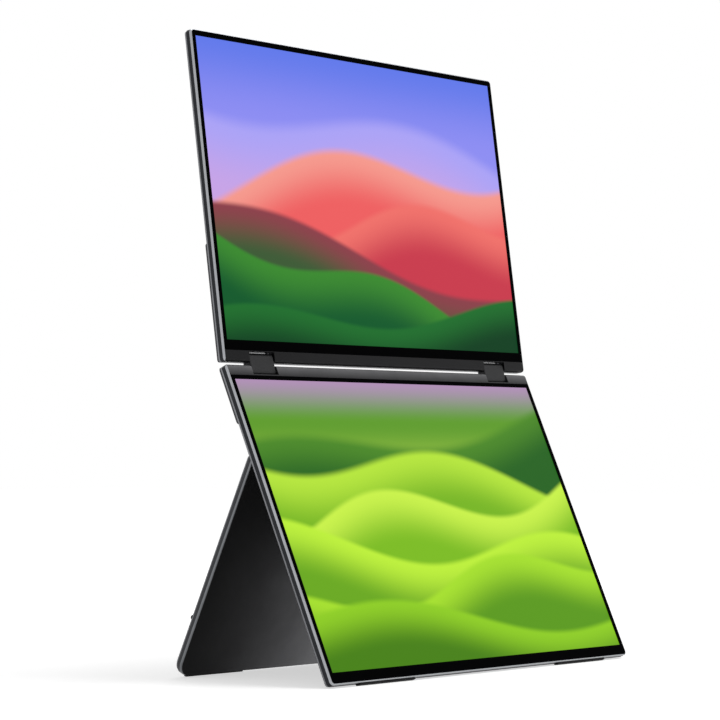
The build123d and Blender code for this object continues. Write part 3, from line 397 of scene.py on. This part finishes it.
def brushed_strip(leaf, edge, inner, sizes):
    """Dyed aluminium brushed along its length: fine streaks, and a painted highlight that runs in from its edge
    where the edge tone is lighter.
    """
    material, tree, shader = new_material(f"Brushed dark aluminium {leaf}", Metallic=0.85)
    # The brush lines are about 0.05 mm wide, drawn at 0.3 mm so that they show.
    grain(tree, shader, 0.3, 0.01, (0.34, 0.48), (0.02, 1, 1))
    vector = leaf_coordinates(tree, leaf, AXIS[leaf])
    height = add_node(tree, SEPARATE, {"Vector": vector}).outputs["Z"]
    inwards = 1 if leaf == "upper" else -1
    run = add_node(
        tree,
        RANGE,
        {"Value": height, "From Min": -inwards * sizes.strip_edge, "From Max": inwards * sizes.strip_highlight_run},
    ).outputs["Result"]
    tone = add_node(tree, MIX, {FACTOR: run, FIRST: tuple(edge), SECOND: tuple(inner)}, data_type="RGBA")
    vary(tree, shader, tone.outputs[MIXED], 0.08, 12)
    return material


def painted_hinge(finish):
    """Die-cast zinc under satin metallic paint, with a faint orange peel about 0.8 mm wide."""
    material, tree, shader = new_material("Satin painted zinc", Metallic=0.3, Specular_IOR_Level=0.35)
    grain(tree, shader, 0.8, 0.05, (0.4, 0.54))
    vary(tree, shader, tuple(finish.hinge), 0.06, 5)
    return material


def coated_sheet(finish, sizes):
    """Aluminium sheet under a satin black coat, with a painted reflection that makes it lighter and more metallic
    towards its lower middle.
    """
    material, tree, shader = new_material("Black-coated aluminium sheet", Specular_IOR_Level=0.05)
    # The coat's texture is about 0.1 mm, drawn at 0.5 mm so that it shows.
    grain(tree, shader, 0.5, 0.01, (0.4, 0.5))
    vector = leaf_coordinates(tree, "stand", AXIS["stand"])
    parts = add_node(tree, SEPARATE, {"Vector": vector}).outputs
    aside = add_node(tree, MATH, {0: parts["X"]}, operation="ABSOLUTE").outputs[0]
    inwards = add_node(
        tree,
        RANGE,
        {"Value": aside, "From Min": sizes.sheen_from, "From Max": 0.0},
        interpolation_type="SMOOTHSTEP",
    ).outputs["Result"]
    down = add_node(
        tree,
        RANGE,
        {"Value": parts["Z"], "From Min": 0.0, "From Max": -sizes.sheen_down},
        interpolation_type="SMOOTHSTEP",
    ).outputs["Result"]
    # The mask of the painted reflection, strongest at the stand's lower middle.
    worn = add_node(tree, MATH, {0: inwards, 1: down}, operation="MULTIPLY").outputs[0]
    tone = add_node(
        tree,
        MIX,
        {FACTOR: worn, FIRST: tuple(finish.stand_sheet), SECOND: tuple(finish.stand_sheet_sheen)},
        data_type="RGBA",
    )
    vary(tree, shader, tone.outputs[MIXED], 0.1, 25)
    # The same painted reflection also raises the metallic share.
    sheen_metal = add_node(tree, MATH, {0: worn, 1: SHEEN_METAL}, operation="MULTIPLY").outputs[0]
    tree.links.new(sheen_metal, shader.inputs["Metallic"])
    return material


def foot_rubber(finish):
    """Moulded silicone rubber: dull, with a soft mottled skin."""
    material, tree, shader = new_material("Silicone rubber", Specular_IOR_Level=0.25)
    # The mould's texture is about 0.1 mm, drawn at 0.5 mm so that it shows.
    grain(tree, shader, 0.5, 0.04, (0.72, 0.86))
    vary(tree, shader, tuple(finish.rubber), 0.15, 3)
    return material


def moulded_button(finish):
    """ABS moulded with a fine matt texture, worn a little smoother in patches."""
    material, tree, shader = new_material("Moulded ABS", Specular_IOR_Level=0.4)
    # The mould's texture is about 0.05 mm, drawn at 0.3 mm so that it shows.
    grain(tree, shader, 0.3, 0.02, (0.38, 0.55))
    vary(tree, shader, tuple(finish.button), 0.1, 2)
    return material


def plain_steel(finish):
    """Rolled and turned steel with faint tool marks, made once and shared."""
    shared = bpy.data.materials.get("Plain steel")
    if shared:
        return shared
    material, tree, shader = new_material("Plain steel", Metallic=1.0)
    # The tool marks are about 0.05 mm wide, drawn at 0.2 mm so that they show.
    grain(tree, shader, 0.2, 0.01, (0.24, 0.4), (0.2, 1, 1))
    vary(tree, shader, tuple(finish.steel), 0.08, 4)
    return material


def gilt_contact(finish):
    """Gold plating over nickel, bright with tiny pores."""
    material, tree, shader = new_material("Gold plating", Metallic=1.0)
    # The pores are about 0.02 mm, drawn at 0.1 mm so that they show.
    grain(tree, shader, 0.1, 0.002, (0.18, 0.3))
    vary(tree, shader, tuple(finish.gold), 0.05, 1)
    return material


def circuit_board(finish, sizes):
    """Glass-filled epoxy under green solder resist, with copper tracks that show as lighter lines."""
    material, tree, shader = new_material("Solder resist", Specular_IOR_Level=0.5)
    grain(tree, shader, 0.4, 0.02, (0.3, 0.42))
    tracks = add_node(
        tree,
        "ShaderNodeTexBrick",
        {
            "Vector": object_coordinates(tree),
            "Color1": tuple(finish.board),
            "Color2": tuple(channel * RESIST_SHADE for channel in finish.board[:3]) + (1.0,),
            "Mortar": tuple(finish.tracks),
            "Scale": 1 / sizes.track_pitch,
            "Mortar Size": TRACK_SHARE,
        },
    )
    tree.links.new(tracks.outputs["Color"], shader.inputs["Base Color"])
    return material


def light_tray(finish):
    """White moulded tray with a faint dot print, as on a light guide."""
    material, tree, shader = new_material("White light guide", Specular_IOR_Level=0.4)
    grain(tree, shader, 1.2, 0.02, (0.5, 0.6))
    vary(tree, shader, tuple(finish.light_guide), 0.04, 3)
    return material


def amber_ribbon(finish):
    """Polyimide film cable with darker copper lines under it."""
    material, tree, shader = new_material("Polyimide film", Specular_IOR_Level=0.5)
    grain(tree, shader, 0.5, 0.01, (0.28, 0.4), (1, 0.1, 0.1))
    vary(tree, shader, tuple(finish.ribbon), 0.12, 0.8)
    return material


# Pictures are soft layered hills in plain colours. A sky is a list of (height, colour). A layer is (base
# height, slope, wave height, radians of wave across the picture, wave start, edge softness, colour along
# its crest, colour further down, depth of the shading). Lengths are in picture widths, and heights are
# counted from the picture's middle.
UPPER_SKY = ((-0.05, "b79df0"), (0.14, "8d8df2"), (0.33, "5f78ea"))
UPPER_LAYERS = (
    (0.150, -0.10, 0.050, 5.0, 0.6, 0.020, "a9a2f6", "c7a3e6", 0.16),
    (0.060, 0.12, 0.060, 5.6, 2.2, 0.012, "f59a8e", "ee5f60", 0.12),
    (-0.050, 0.08, 0.045, 7.4, 0.4, 0.010, "f0716a", "c93a4c", 0.12),
    (-0.120, -0.16, 0.030, 6.2, 3.4, 0.008, "8c3f4a", "3c5a34", 0.10),
    (-0.185, -0.20, 0.032, 8.0, 1.2, 0.006, "3a8a2e", "0b5a2a", 0.11),
    (-0.245, 0.05, 0.030, 6.6, 4.4, 0.006, "1d6f2c", "063f1d", 0.09),
)
LOWER_SKY = ((0.05, "b8de52"), (0.22, "5f9c2a"), (0.33, "b58fbd"))
LOWER_LAYERS = (
    (0.190, 0.10, 0.040, 5.2, 4.0, 0.014, "4c8a26", "24641d", 0.10),
    (0.110, -0.10, 0.050, 6.0, 1.0, 0.010, "b6e63c", "77b61f", 0.12),
    (0.030, 0.08, 0.050, 7.2, 2.8, 0.008, "c9f24a", "7cbc1e", 0.12),
    (-0.060, -0.06, 0.045, 6.4, 5.2, 0.008, "bdf03a", "6aa91c", 0.12),
    (-0.140, 0.07, 0.040, 7.8, 0.2, 0.008, "a6e02c", "5b9a18", 0.11),
    (-0.220, -0.05, 0.035, 6.0, 3.0, 0.008, "8fce22", "47810f", 0.10),
)


def picture(leaf, sky, layers, finish, sizes):
    """A lit liquid-crystal picture behind matt glass: glowing colours under a faint haze."""
    material, tree, shader = new_material(
        f"Lit picture {leaf}",
        Base_Color=tuple(finish.unlit),
        Specular_IOR_Level=0.03,
        Roughness=0.42,
        Emission_Strength=1.0,
    )
    low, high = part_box(f"{leaf}_lcd_cell")
    vector = leaf_coordinates(tree, leaf, (low + high) / 2)
    scaled = add_node(
        tree, MAPPING, {"Vector": vector, "Scale": (1 / sizes.picture_width,) * 3}
    ).outputs["Vector"]
    parts = add_node(tree, SEPARATE, {"Vector": scaled})
    across, height = parts.outputs["X"], parts.outputs["Z"]
    shown = linear(sky[0][1])
    for (start, _), (end, code) in zip(sky, sky[1:]):
        rise = add_node(
            tree,
            RANGE,
            {"Value": height, "From Min": start, "From Max": end},
            interpolation_type="SMOOTHSTEP",
        ).outputs["Result"]
        shown = add_node(
            tree, MIX, {FACTOR: rise, FIRST: shown, SECOND: linear(code)}, data_type="RGBA"
        ).outputs[MIXED]
    for base, slope, wave_height, waves, begin, soft, crest, deep, shade_depth in layers:
        angle = add_node(tree, MATH, {0: across, 1: waves, 2: begin}, operation="MULTIPLY_ADD")
        wave = add_node(tree, MATH, {0: angle.outputs[0]}, operation="SINE").outputs[0]
        crests = add_node(tree, MATH, {0: wave, 1: wave_height, 2: base}, operation="MULTIPLY_ADD")
        sloped = {0: across, 1: slope, 2: crests.outputs[0]}
        edge = add_node(tree, MATH, sloped, operation="MULTIPLY_ADD").outputs[0]
        below = add_node(tree, MATH, {0: edge, 1: height}, operation="SUBTRACT").outputs[0]
        inside = add_node(
            tree,
            RANGE,
            {"Value": below, "From Min": -soft, "From Max": soft},
            interpolation_type="SMOOTHSTEP",
        ).outputs["Result"]
        shade = add_node(
            tree,
            RANGE,
            {"Value": below, "From Min": 0.0, "From Max": shade_depth},
            interpolation_type="SMOOTHSTEP",
        ).outputs["Result"]
        hill = add_node(
            tree, MIX, {FACTOR: shade, FIRST: linear(crest), SECOND: linear(deep)}, data_type="RGBA"
        ).outputs[MIXED]
        shown = add_node(
            tree, MIX, {FACTOR: inside, FIRST: shown, SECOND: hill}, data_type="RGBA"
        ).outputs[MIXED]
    tree.links.new(shown, shader.inputs["Emission Color"])
    return material


def finish_nodes(material, *names):
    """Gives CAD nodes a material."""
    for name in names:
        slots = frame["nodes"][name].data.materials
        slots.clear()
        slots.append(material)


def both(*names):
    """The named piece of the lower and of the upper display."""
    return [f"{display}_{name}" for name in names for display in DISPLAYS]


def new_tree(name, inputs):
    """A Geometry Nodes tree with named inputs, given as name to socket kind, and one geometry output."""
    tree = bpy.data.node_groups.new(name, "GeometryNodeTree")
    for label, kind in inputs.items():
        tree.interface.new_socket(label, in_out="INPUT", socket_type=kind)
    tree.interface.new_socket("Geometry", in_out="OUTPUT", socket_type="NodeSocketGeometry")
    return tree, add_node(tree, "NodeGroupInput").outputs


def row(tree, shape, count, step):
    """Copies of a shape along a centred line, with the given step between them."""
    span = add_node(tree, VECTOR_MATH, {0: step}, operation="SCALE")
    gaps = add_node(tree, MATH, {0: count, 1: 1.0}, operation="SUBTRACT")
    half = add_node(tree, MATH, {0: gaps.outputs[0], 1: -0.5}, operation="MULTIPLY")
    tree.links.new(half.outputs[0], span.inputs["Scale"])
    line = add_node(
        tree,
        "GeometryNodeMeshLine",
        {"Count": count, "Start Location": span.outputs["Vector"], "Offset": step},
        mode="OFFSET",
    )
    return add_node(
        tree, "GeometryNodeInstanceOnPoints", {"Points": line.outputs["Mesh"], "Instance": shape}
    ).outputs["Instances"]


def end_tree(tree, shape, material):
    """Makes the instances real, gives them their material and hands them out."""
    real = add_node(tree, "GeometryNodeRealizeInstances", {"Geometry": shape})
    painted = add_node(
        tree, "GeometryNodeSetMaterial", {"Geometry": real.outputs["Geometry"], "Material": material}
    )
    add_node(tree, "NodeGroupOutput", {"Geometry": painted.outputs["Geometry"]})


def contact_tree():
    """Rows of flat contacts on both faces of the tongues of one or more ports in a line."""
    tree, given = new_tree(
        "Port contacts",
        {
            "Ports": "NodeSocketInt",
            "Port Step": "NodeSocketVector",
            "Face Step": "NodeSocketVector",
            "Contacts": "NodeSocketInt",
            "Contact Step": "NodeSocketVector",
            "Contact Size": "NodeSocketVector",
            "Material": "NodeSocketMaterial",
        },
    )
    contact = add_node(tree, "GeometryNodeMeshCube", {"Size": given["Contact Size"]}).outputs["Mesh"]
    face = row(tree, contact, given["Contacts"], given["Contact Step"])
    tongue = row(tree, face, 2, given["Face Step"])
    ports = row(tree, tongue, given["Ports"], given["Port Step"])
    end_tree(tree, ports, given["Material"])
    return tree


def grow_top(tree, shape, top, rise, widen):
    """Draws a shape's top face up or down by a rise, scales it, and returns the shape and its new top."""
    drawn = add_node(
        tree,
        "GeometryNodeExtrudeMesh",
        {"Mesh": shape, "Selection": top, "Offset Scale": rise},
        mode="FACES",
    )
    scaled = add_node(
        tree,
        "GeometryNodeScaleElements",
        {"Geometry": drawn.outputs["Mesh"], "Selection": drawn.outputs["Top"], "Scale": widen},
        domain="FACE",
    )
    return scaled.outputs["Geometry"], drawn.outputs["Top"]


def screw_tree():
    """Pan-head screws with a lobed drive recess, in pairs at each of two hinges, standing on their tips."""
    tree, given = new_tree(
        "Stand bracket screws",
        {
            "Head Radius": "NodeSocketFloat",
            "Head Height": "NodeSocketFloat",
            "Shank Radius": "NodeSocketFloat",
            "Shank Length": "NodeSocketFloat",
            "Recess Radius": "NodeSocketFloat",
            "Recess Depth": "NodeSocketFloat",
            "Pair Step": "NodeSocketVector",
            "Hinge Step": "NodeSocketVector",
            "Material": "NodeSocketMaterial",
        },
    )
    head, shank, recess = given["Head Radius"], given["Shank Radius"], given["Recess Radius"]
    to_head = add_node(tree, MATH, {0: head, 1: shank}, operation="DIVIDE").outputs[0]
    to_recess = add_node(tree, MATH, {0: recess, 1: head}, operation="DIVIDE").outputs[0]
    down = add_node(tree, MATH, {0: given["Recess Depth"], 1: -1.0}, operation="MULTIPLY").outputs[0]
    tip = add_node(
        tree, "GeometryNodeMeshCircle", {"Vertices": SCREW_SIDES, "Radius": shank}, fill_type="NGON"
    ).outputs["Mesh"]
    shape, top = grow_top(tree, tip, True, given["Shank Length"], 1.0)
    shape, top = grow_top(tree, shape, top, 0.0, to_head)
    shape, top = grow_top(tree, shape, top, given["Head Height"], 1.0)
    shape, top = grow_top(tree, shape, top, 0.0, to_recess)
    # The rim of the recess swings in and out at each lobe, and then sinks into the head.
    where = add_node(tree, "GeometryNodeInputPosition").outputs["Position"]
    parts = add_node(tree, SEPARATE, {"Vector": where}).outputs
    turn = add_node(tree, MATH, {0: parts["Y"], 1: parts["X"]}, operation="ARCTAN2").outputs[0]
    lobes = add_node(tree, MATH, {0: turn, 1: LOBES}, operation="MULTIPLY").outputs[0]
    swing = add_node(tree, MATH, {0: lobes}, operation="COSINE").outputs[0]
    reach = add_node(tree, MATH, {0: swing, 1: LOBE_SWING, 2: 1.0}, operation="MULTIPLY_ADD").outputs[0]
    across = add_node(tree, "ShaderNodeCombineXYZ", {"X": reach, "Y": reach, "Z": 1.0}).outputs["Vector"]
    lobed = add_node(tree, VECTOR_MATH, {0: where, 1: across}, operation="MULTIPLY").outputs["Vector"]
    shape = add_node(
        tree, "GeometryNodeSetPosition", {"Geometry": shape, "Selection": top, "Position": lobed}
    ).outputs["Geometry"]
    shape, top = grow_top(tree, shape, top, down, 1.0)
    closing = add_node(tree, "GeometryNodeFlipFaces", {"Mesh": tip}).outputs["Mesh"]
    joined = add_node(tree, "GeometryNodeJoinGeometry")
    for part in (shape, closing):
        tree.links.new(part, joined.inputs["Geometry"])
    merged = {"Geometry": joined.outputs["Geometry"], "Distance": MERGE_WITHIN}
    screw = add_node(tree, "GeometryNodeMergeByDistance", merged).outputs["Geometry"]
    pair = row(tree, screw, 2, given["Pair Step"])
    end_tree(tree, row(tree, pair, 2, given["Hinge Step"]), given["Material"])
    return tree


def grown_piece(name, tree, values, place):
    """Runs a tree with its inputs set, and keeps the result as a plain mesh moved to its place."""
    holder = bpy.data.objects.new(f"{name}_holder", bpy.data.meshes.new(f"{name}_holder"))
    bpy.context.scene.collection.objects.link(holder)
    modifier = holder.modifiers.new("Shape", "NODES")
    modifier.node_group = tree
    sockets = {item.name: item.identifier for item in tree.interface.items_tree if item.in_out == "INPUT"}
    for label, value in values.items():
        modifier[sockets[label]] = value
    evaluated = holder.evaluated_get(bpy.context.evaluated_depsgraph_get())
    mesh = bpy.data.meshes.new_from_object(evaluated)
    bpy.data.objects.remove(holder)
    if not mesh.polygons:
        raise RuntimeError(f"{name} came out empty")
    mesh.transform(place)
    mesh.name = name
    piece = bpy.data.objects.new(name, mesh)
    bpy.context.scene.collection.objects.link(piece)
    return piece


def leaf_matrix(leaf, point):
    """Places a shape made upright, with X across, Y back and Z up, on a leaning leaf."""
    return Matrix.Translation(point) @ Matrix.Rotation(-LEAN[leaf], 4, "X")


class MONITOR_OT_shells(bpy.types.Operator):
    """Finishes the back covers, trim frames, bezels and hinge strips"""

    bl_idname = "monitor.shells"
    bl_label = "Shells and borders"

    def execute(self, context):
        finish, sizes = context.scene.monitor_finish, context.scene.monitor_sizes
        for display in DISPLAYS:
            finish_nodes(anodised_shell(display, finish, sizes), f"{display}_back_cover")
        finish_nodes(satin_aluminium("Satin aluminium trim", finish.trim), *both("trim_frame"))
        finish_nodes(moulded_bezel(finish), *both("front_bezel"))
        # The upper and lower tones are lit and shaded copies of one finish, and the lower edge tone is a painted
        # highlight.
        strip_light_tones = {
            "upper": (finish.upper_strip_shaded, finish.upper_strip_shaded),
            "lower": (finish.lower_strip_highlight, finish.lower_strip_lit),
        }
        for display, (edge, inner) in strip_light_tones.items():
            finish_nodes(brushed_strip(display, edge, inner, sizes), f"{display}_hinge_strip")
        return {"FINISHED"}


class MONITOR_OT_pictures(bpy.types.Operator):
    """Lights the two pictures with soft layered hills"""

    bl_idname = "monitor.pictures"
    bl_label = "Pictures"

    def execute(self, context):
        finish, sizes = context.scene.monitor_finish, context.scene.monitor_sizes
        pictures = {"upper": (UPPER_SKY, UPPER_LAYERS), "lower": (LOWER_SKY, LOWER_LAYERS)}
        for display, (sky, layers) in pictures.items():
            finish_nodes(picture(display, sky, layers, finish, sizes), f"{display}_lcd_cell")
        return {"FINISHED"}


class MONITOR_OT_hinges(bpy.types.Operator):
    """Finishes the hinge blocks and the steel parts inside them"""

    bl_idname = "monitor.hinges"
    bl_label = "Hinges"

    def execute(self, context):
        finish = context.scene.monitor_finish
        blocks = ("hinge_housing_left", "hinge_housing_right", "hinge_end_caps", "hinge_cap_screws")
        finish_nodes(painted_hinge(finish), *blocks, "stand_hinge_brackets", "stand_knuckles")
        steel = plain_steel(finish)
        finish_nodes(steel, *both("hinge_brackets", "hinge_shafts", "bracket_screws", "board_screws"))
        finish_nodes(steel, "hinge_friction_washers", "stand_hinge_pins", "stand_knuckle_screws")
        return {"FINISHED"}


class MONITOR_OT_stand(bpy.types.Operator):
    """Finishes the stand's sheet and skin, and all the rubber"""

    bl_idname = "monitor.stand"
    bl_label = "Stand and feet"

    def execute(self, context):
        finish, sizes = context.scene.monitor_finish, context.scene.monitor_sizes
        finish_nodes(satin_aluminium("Satin aluminium plate", finish.stand_edge), "stand_core_plate")
        finish_nodes(coated_sheet(finish, sizes), "stand_front_sheet")
        finish_nodes(stand_skin(finish, sizes), "stand_back_skin")
        finish_nodes(foot_rubber(finish), "lower_rubber_feet", "stand_rubber_feet", "stand_bumpers")
        return {"FINISHED"}


class MONITOR_OT_ports(bpy.types.Operator):
    """Finishes the sockets and lays the contacts on their tongues"""

    bl_idname = "monitor.ports"
    bl_label = "Ports"

    def execute(self, context):
        finish, sizes = context.scene.monitor_finish, context.scene.monitor_sizes
        finish_nodes(plain_steel(finish), *both("usb_c_sockets", "hdmi_socket"))
        gilt = gilt_contact(finish)
        contact_size = (sizes.contact_length, sizes.contact_thickness, sizes.contact_pitch / 2)
        tree = contact_tree()
        inwards = Vector((-sizes.contact_inset, 0, 0))
        for display in DISPLAYS:
            first, second = (Vector(MOUNTS[f"{display}_usb_c_{at}_port"]["pos_m"]) for at in "ab")
            video = Vector(MOUNTS[f"{display}_mini_hdmi_port"]["pos_m"])
            groups = (
                ("usb_c_contacts", (first + second) / 2, 2, (first - second).length, SMALL_PORT_CONTACTS),
                ("hdmi_contacts", video, 1, 0.0, VIDEO_PORT_CONTACTS),
            )
            for name, centre, ports, step, contacts in groups:
                values = {
                    "Ports": ports,
                    "Port Step": (0, 0, step),
                    "Face Step": (0, sizes.contact_faces, 0),
                    "Contacts": contacts,
                    "Contact Step": (0, 0, sizes.contact_pitch),
                    "Contact Size": contact_size,
                    "Material": gilt,
                }
                place = leaf_matrix(display, centre + inwards)
                piece = grown_piece(f"{display}_{name}", tree, values, place)
                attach(piece, f"{display}_display")
        return {"FINISHED"}


class MONITOR_OT_buttons(bpy.types.Operator):
    """Finishes the power buttons, menu rockers and what lies behind them"""

    bl_idname = "monitor.buttons"
    bl_label = "Buttons"

    def execute(self, context):
        finish = context.scene.monitor_finish
        moulded = both("power_button", "menu_rocker", "button_switches", "speakers")
        finish_nodes(moulded_button(finish), *moulded)
        return {"FINISHED"}


class MONITOR_OT_inner_parts(bpy.types.Operator):
    """Finishes the boards, cables and trays inside the displays"""

    bl_idname = "monitor.inner_parts"
    bl_label = "Inner parts"

    def execute(self, context):
        finish, sizes = context.scene.monitor_finish, context.scene.monitor_sizes
        finish_nodes(circuit_board(finish, sizes), *both("main_board", "button_board"))
        finish_nodes(amber_ribbon(finish), *both("display_ribbon"))
        finish_nodes(light_tray(finish), *both("backlight_tray"))
        return {"FINISHED"}


class MONITOR_OT_screws(bpy.types.Operator):
    """Puts in the stand brackets' screws, with their drive recesses"""

    bl_idname = "monitor.screws"
    bl_label = "Stand bracket screws"

    def execute(self, context):
        finish, sizes = context.scene.monitor_finish, context.scene.monitor_sizes
        forward = Vector((0, -math.cos(LEAN["lower"]), math.sin(LEAN["lower"])))
        tips = AXIS["stand"] + forward * (sizes.screw_forward + sizes.screw_head + sizes.screw_shank)
        values = {
            "Head Radius": sizes.screw_radius,
            "Head Height": sizes.screw_head,
            "Shank Radius": sizes.screw_radius / 2,
            "Shank Length": sizes.screw_shank,
            "Recess Radius": sizes.screw_radius * RECESS_WIDTH,
            "Recess Depth": sizes.screw_head * RECESS_DEPTH,
            "Pair Step": (sizes.screw_step, 0, 0),
            "Hinge Step": (sizes.stand_hinge_step, 0, 0),
            "Material": plain_steel(finish),
        }
        # The screws are made standing up, and turn back so that their heads face out of the cover.
        place = leaf_matrix("lower", tips) @ Matrix.Rotation(-math.pi / 2, 4, "X")
        screws = grown_piece("stand_bracket_screws_driven", screw_tree(), values, place)
        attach(screws, "lower_display")
        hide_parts("stand_bracket_screws")
        return {"FINISHED"}


class MONITOR_OT_stage(bpy.types.Operator):
    """Sets up the pale floor, the soft light and the camera"""

    bl_idname = "monitor.stage"
    bl_label = "Studio"

    def execute(self, context):
        scene, studio = context.scene, context.scene.monitor_studio
        scene.view_settings.view_transform = "Standard"
        self.floor(scene, studio)
        self.surround(scene, studio)
        self.lamp(scene, studio.key_power, *KEY_LAMP)
        self.lamp(scene, studio.fill_power, *FILL_LAMP)
        camera = bpy.data.objects.new("Camera", bpy.data.cameras.new("Camera"))
        camera.data.sensor_width = SENSOR_MM
        camera.data.lens = studio.lens
        camera.data.clip_end = CAMERA_REACH
        camera.location = AXIS["lower"] + Vector(studio.camera_place)
        camera.rotation_euler = Vector(studio.camera_aim).to_track_quat("-Z", "Y").to_euler()
        scene.collection.objects.link(camera)
        scene.camera = camera
        return {"FINISHED"}

    def seen(self, tree):
        """1 for what the camera sees straight, in a reflection or through glass."""
        path = add_node(tree, "ShaderNodeLightPath").outputs
        shown = path["Is Camera Ray"]
        for ray in ("Is Glossy Ray", "Is Transmission Ray"):
            shown = add_node(tree, MATH, {0: shown, 1: path[ray]}, operation="MAXIMUM").outputs[0]
        return shown

    def floor(self, scene, studio):
        """A pale square floor that keeps the object's shadow."""
        side = studio.floor_size / 2
        mesh = bpy.data.meshes.new("Floor")
        corners = [(-side, -side, 0), (side, -side, 0), (side, side, 0), (-side, side, 0)]
        mesh.from_pydata(corners, [], [(0, 1, 2, 3)])
        floor = bpy.data.objects.new("Floor", mesh)
        scene.collection.objects.link(floor)
        material, tree, shader = new_material(
            "Pale studio floor",
            Base_Color=tuple(studio.floor),
            Specular_IOR_Level=0.0,
            Roughness=0.9,
            Emission_Color=linear(WHITE),
        )
        # The floor glows more away from the object, so that it stays white where the lamps don't reach.
        away = add_node(tree, VECTOR_MATH, {0: object_coordinates(tree)}, operation="LENGTH")
        level = add_node(
            tree,
            RANGE,
            {
                "Value": away.outputs["Value"],
                "From Min": studio.glow_start,
                "From Max": studio.glow_end,
                "To Min": studio.floor_glow,
                "To Max": studio.far_glow,
            },
        ).outputs["Result"]
        glow = add_node(tree, MATH, {0: self.seen(tree), 1: level}, operation="MULTIPLY")
        tree.links.new(glow.outputs[0], shader.inputs["Emission Strength"])
        mesh.materials.append(material)

    def surround(self, scene, studio):
        """A world that lights softly from all around and is seen as white."""
        world = bpy.data.worlds.new("Studio surround")
        world.use_nodes = True
        scene.world = world
        tree = world.node_tree
        light = tree.nodes["Background"]
        light.inputs["Color"].default_value = linear(WHITE)
        light.inputs["Strength"].default_value = studio.surround
        white = add_node(tree, "ShaderNodeBackground", {"Color": linear(WHITE), "Strength": 1.0})
        mixed = add_node(tree, "ShaderNodeMixShader", {0: self.seen(tree)})
        tree.links.new(light.outputs[0], mixed.inputs[1])
        tree.links.new(white.outputs[0], mixed.inputs[2])
        tree.links.new(mixed.outputs[0], tree.nodes["World Output"].inputs["Surface"])

    def lamp(self, scene, power, name, place, aim, width):
        """A round soft lamp that shines from its place towards its aim."""
        lamp = bpy.data.objects.new(name, bpy.data.lights.new(name, "AREA"))
        lamp.data.shape = "DISK"
        lamp.data.size = width
        lamp.data.energy = power
        lamp.location = place
        lamp.rotation_euler = (Vector(aim) - Vector(place)).to_track_quat("-Z", "Y").to_euler()
        scene.collection.objects.link(lamp)


OPERATORS = (
    MONITOR_OT_shells,
    MONITOR_OT_pictures,
    MONITOR_OT_hinges,
    MONITOR_OT_stand,
    MONITOR_OT_ports,
    MONITOR_OT_buttons,
    MONITOR_OT_inner_parts,
    MONITOR_OT_screws,
    MONITOR_OT_stage,
)


class MONITOR_PT_looks(bpy.types.Panel):
    """Lists the steps that finish the monitor, and what can be changed"""

    bl_idname = "MONITOR_PT_looks"
    bl_label = "Monitor"
    bl_space_type = "VIEW_3D"
    bl_region_type = "UI"
    bl_category = "Monitor"

    def draw(self, context):
        for step in OPERATORS:
            self.layout.operator(step.bl_idname)
        for group_name in GROUPS:
            group = getattr(context.scene, group_name)
            for name in group.bl_rna.properties.keys():
                if name not in ("rna_type", "name"):
                    self.layout.prop(group, name)


GROUPS = {"monitor_finish": MonitorFinish, "monitor_sizes": MonitorSizes, "monitor_studio": MonitorStudio}
CLASSES = (*GROUPS.values(), *OPERATORS, MONITOR_PT_looks)


def register():
    for each in CLASSES:
        bpy.utils.register_class(each)
    for name, group in GROUPS.items():
        setattr(bpy.types.Scene, name, bpy.props.PointerProperty(type=group))


def unregister():
    for name in GROUPS:
        delattr(bpy.types.Scene, name)
    for each in reversed(CLASSES):
        bpy.utils.unregister_class(each)


def main():
    """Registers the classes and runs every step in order."""
    register()
    for step in OPERATORS:
        group, name = step.bl_idname.split(".")
        getattr(getattr(bpy.ops, group), name)()


if __name__ == "__main__":
    main()
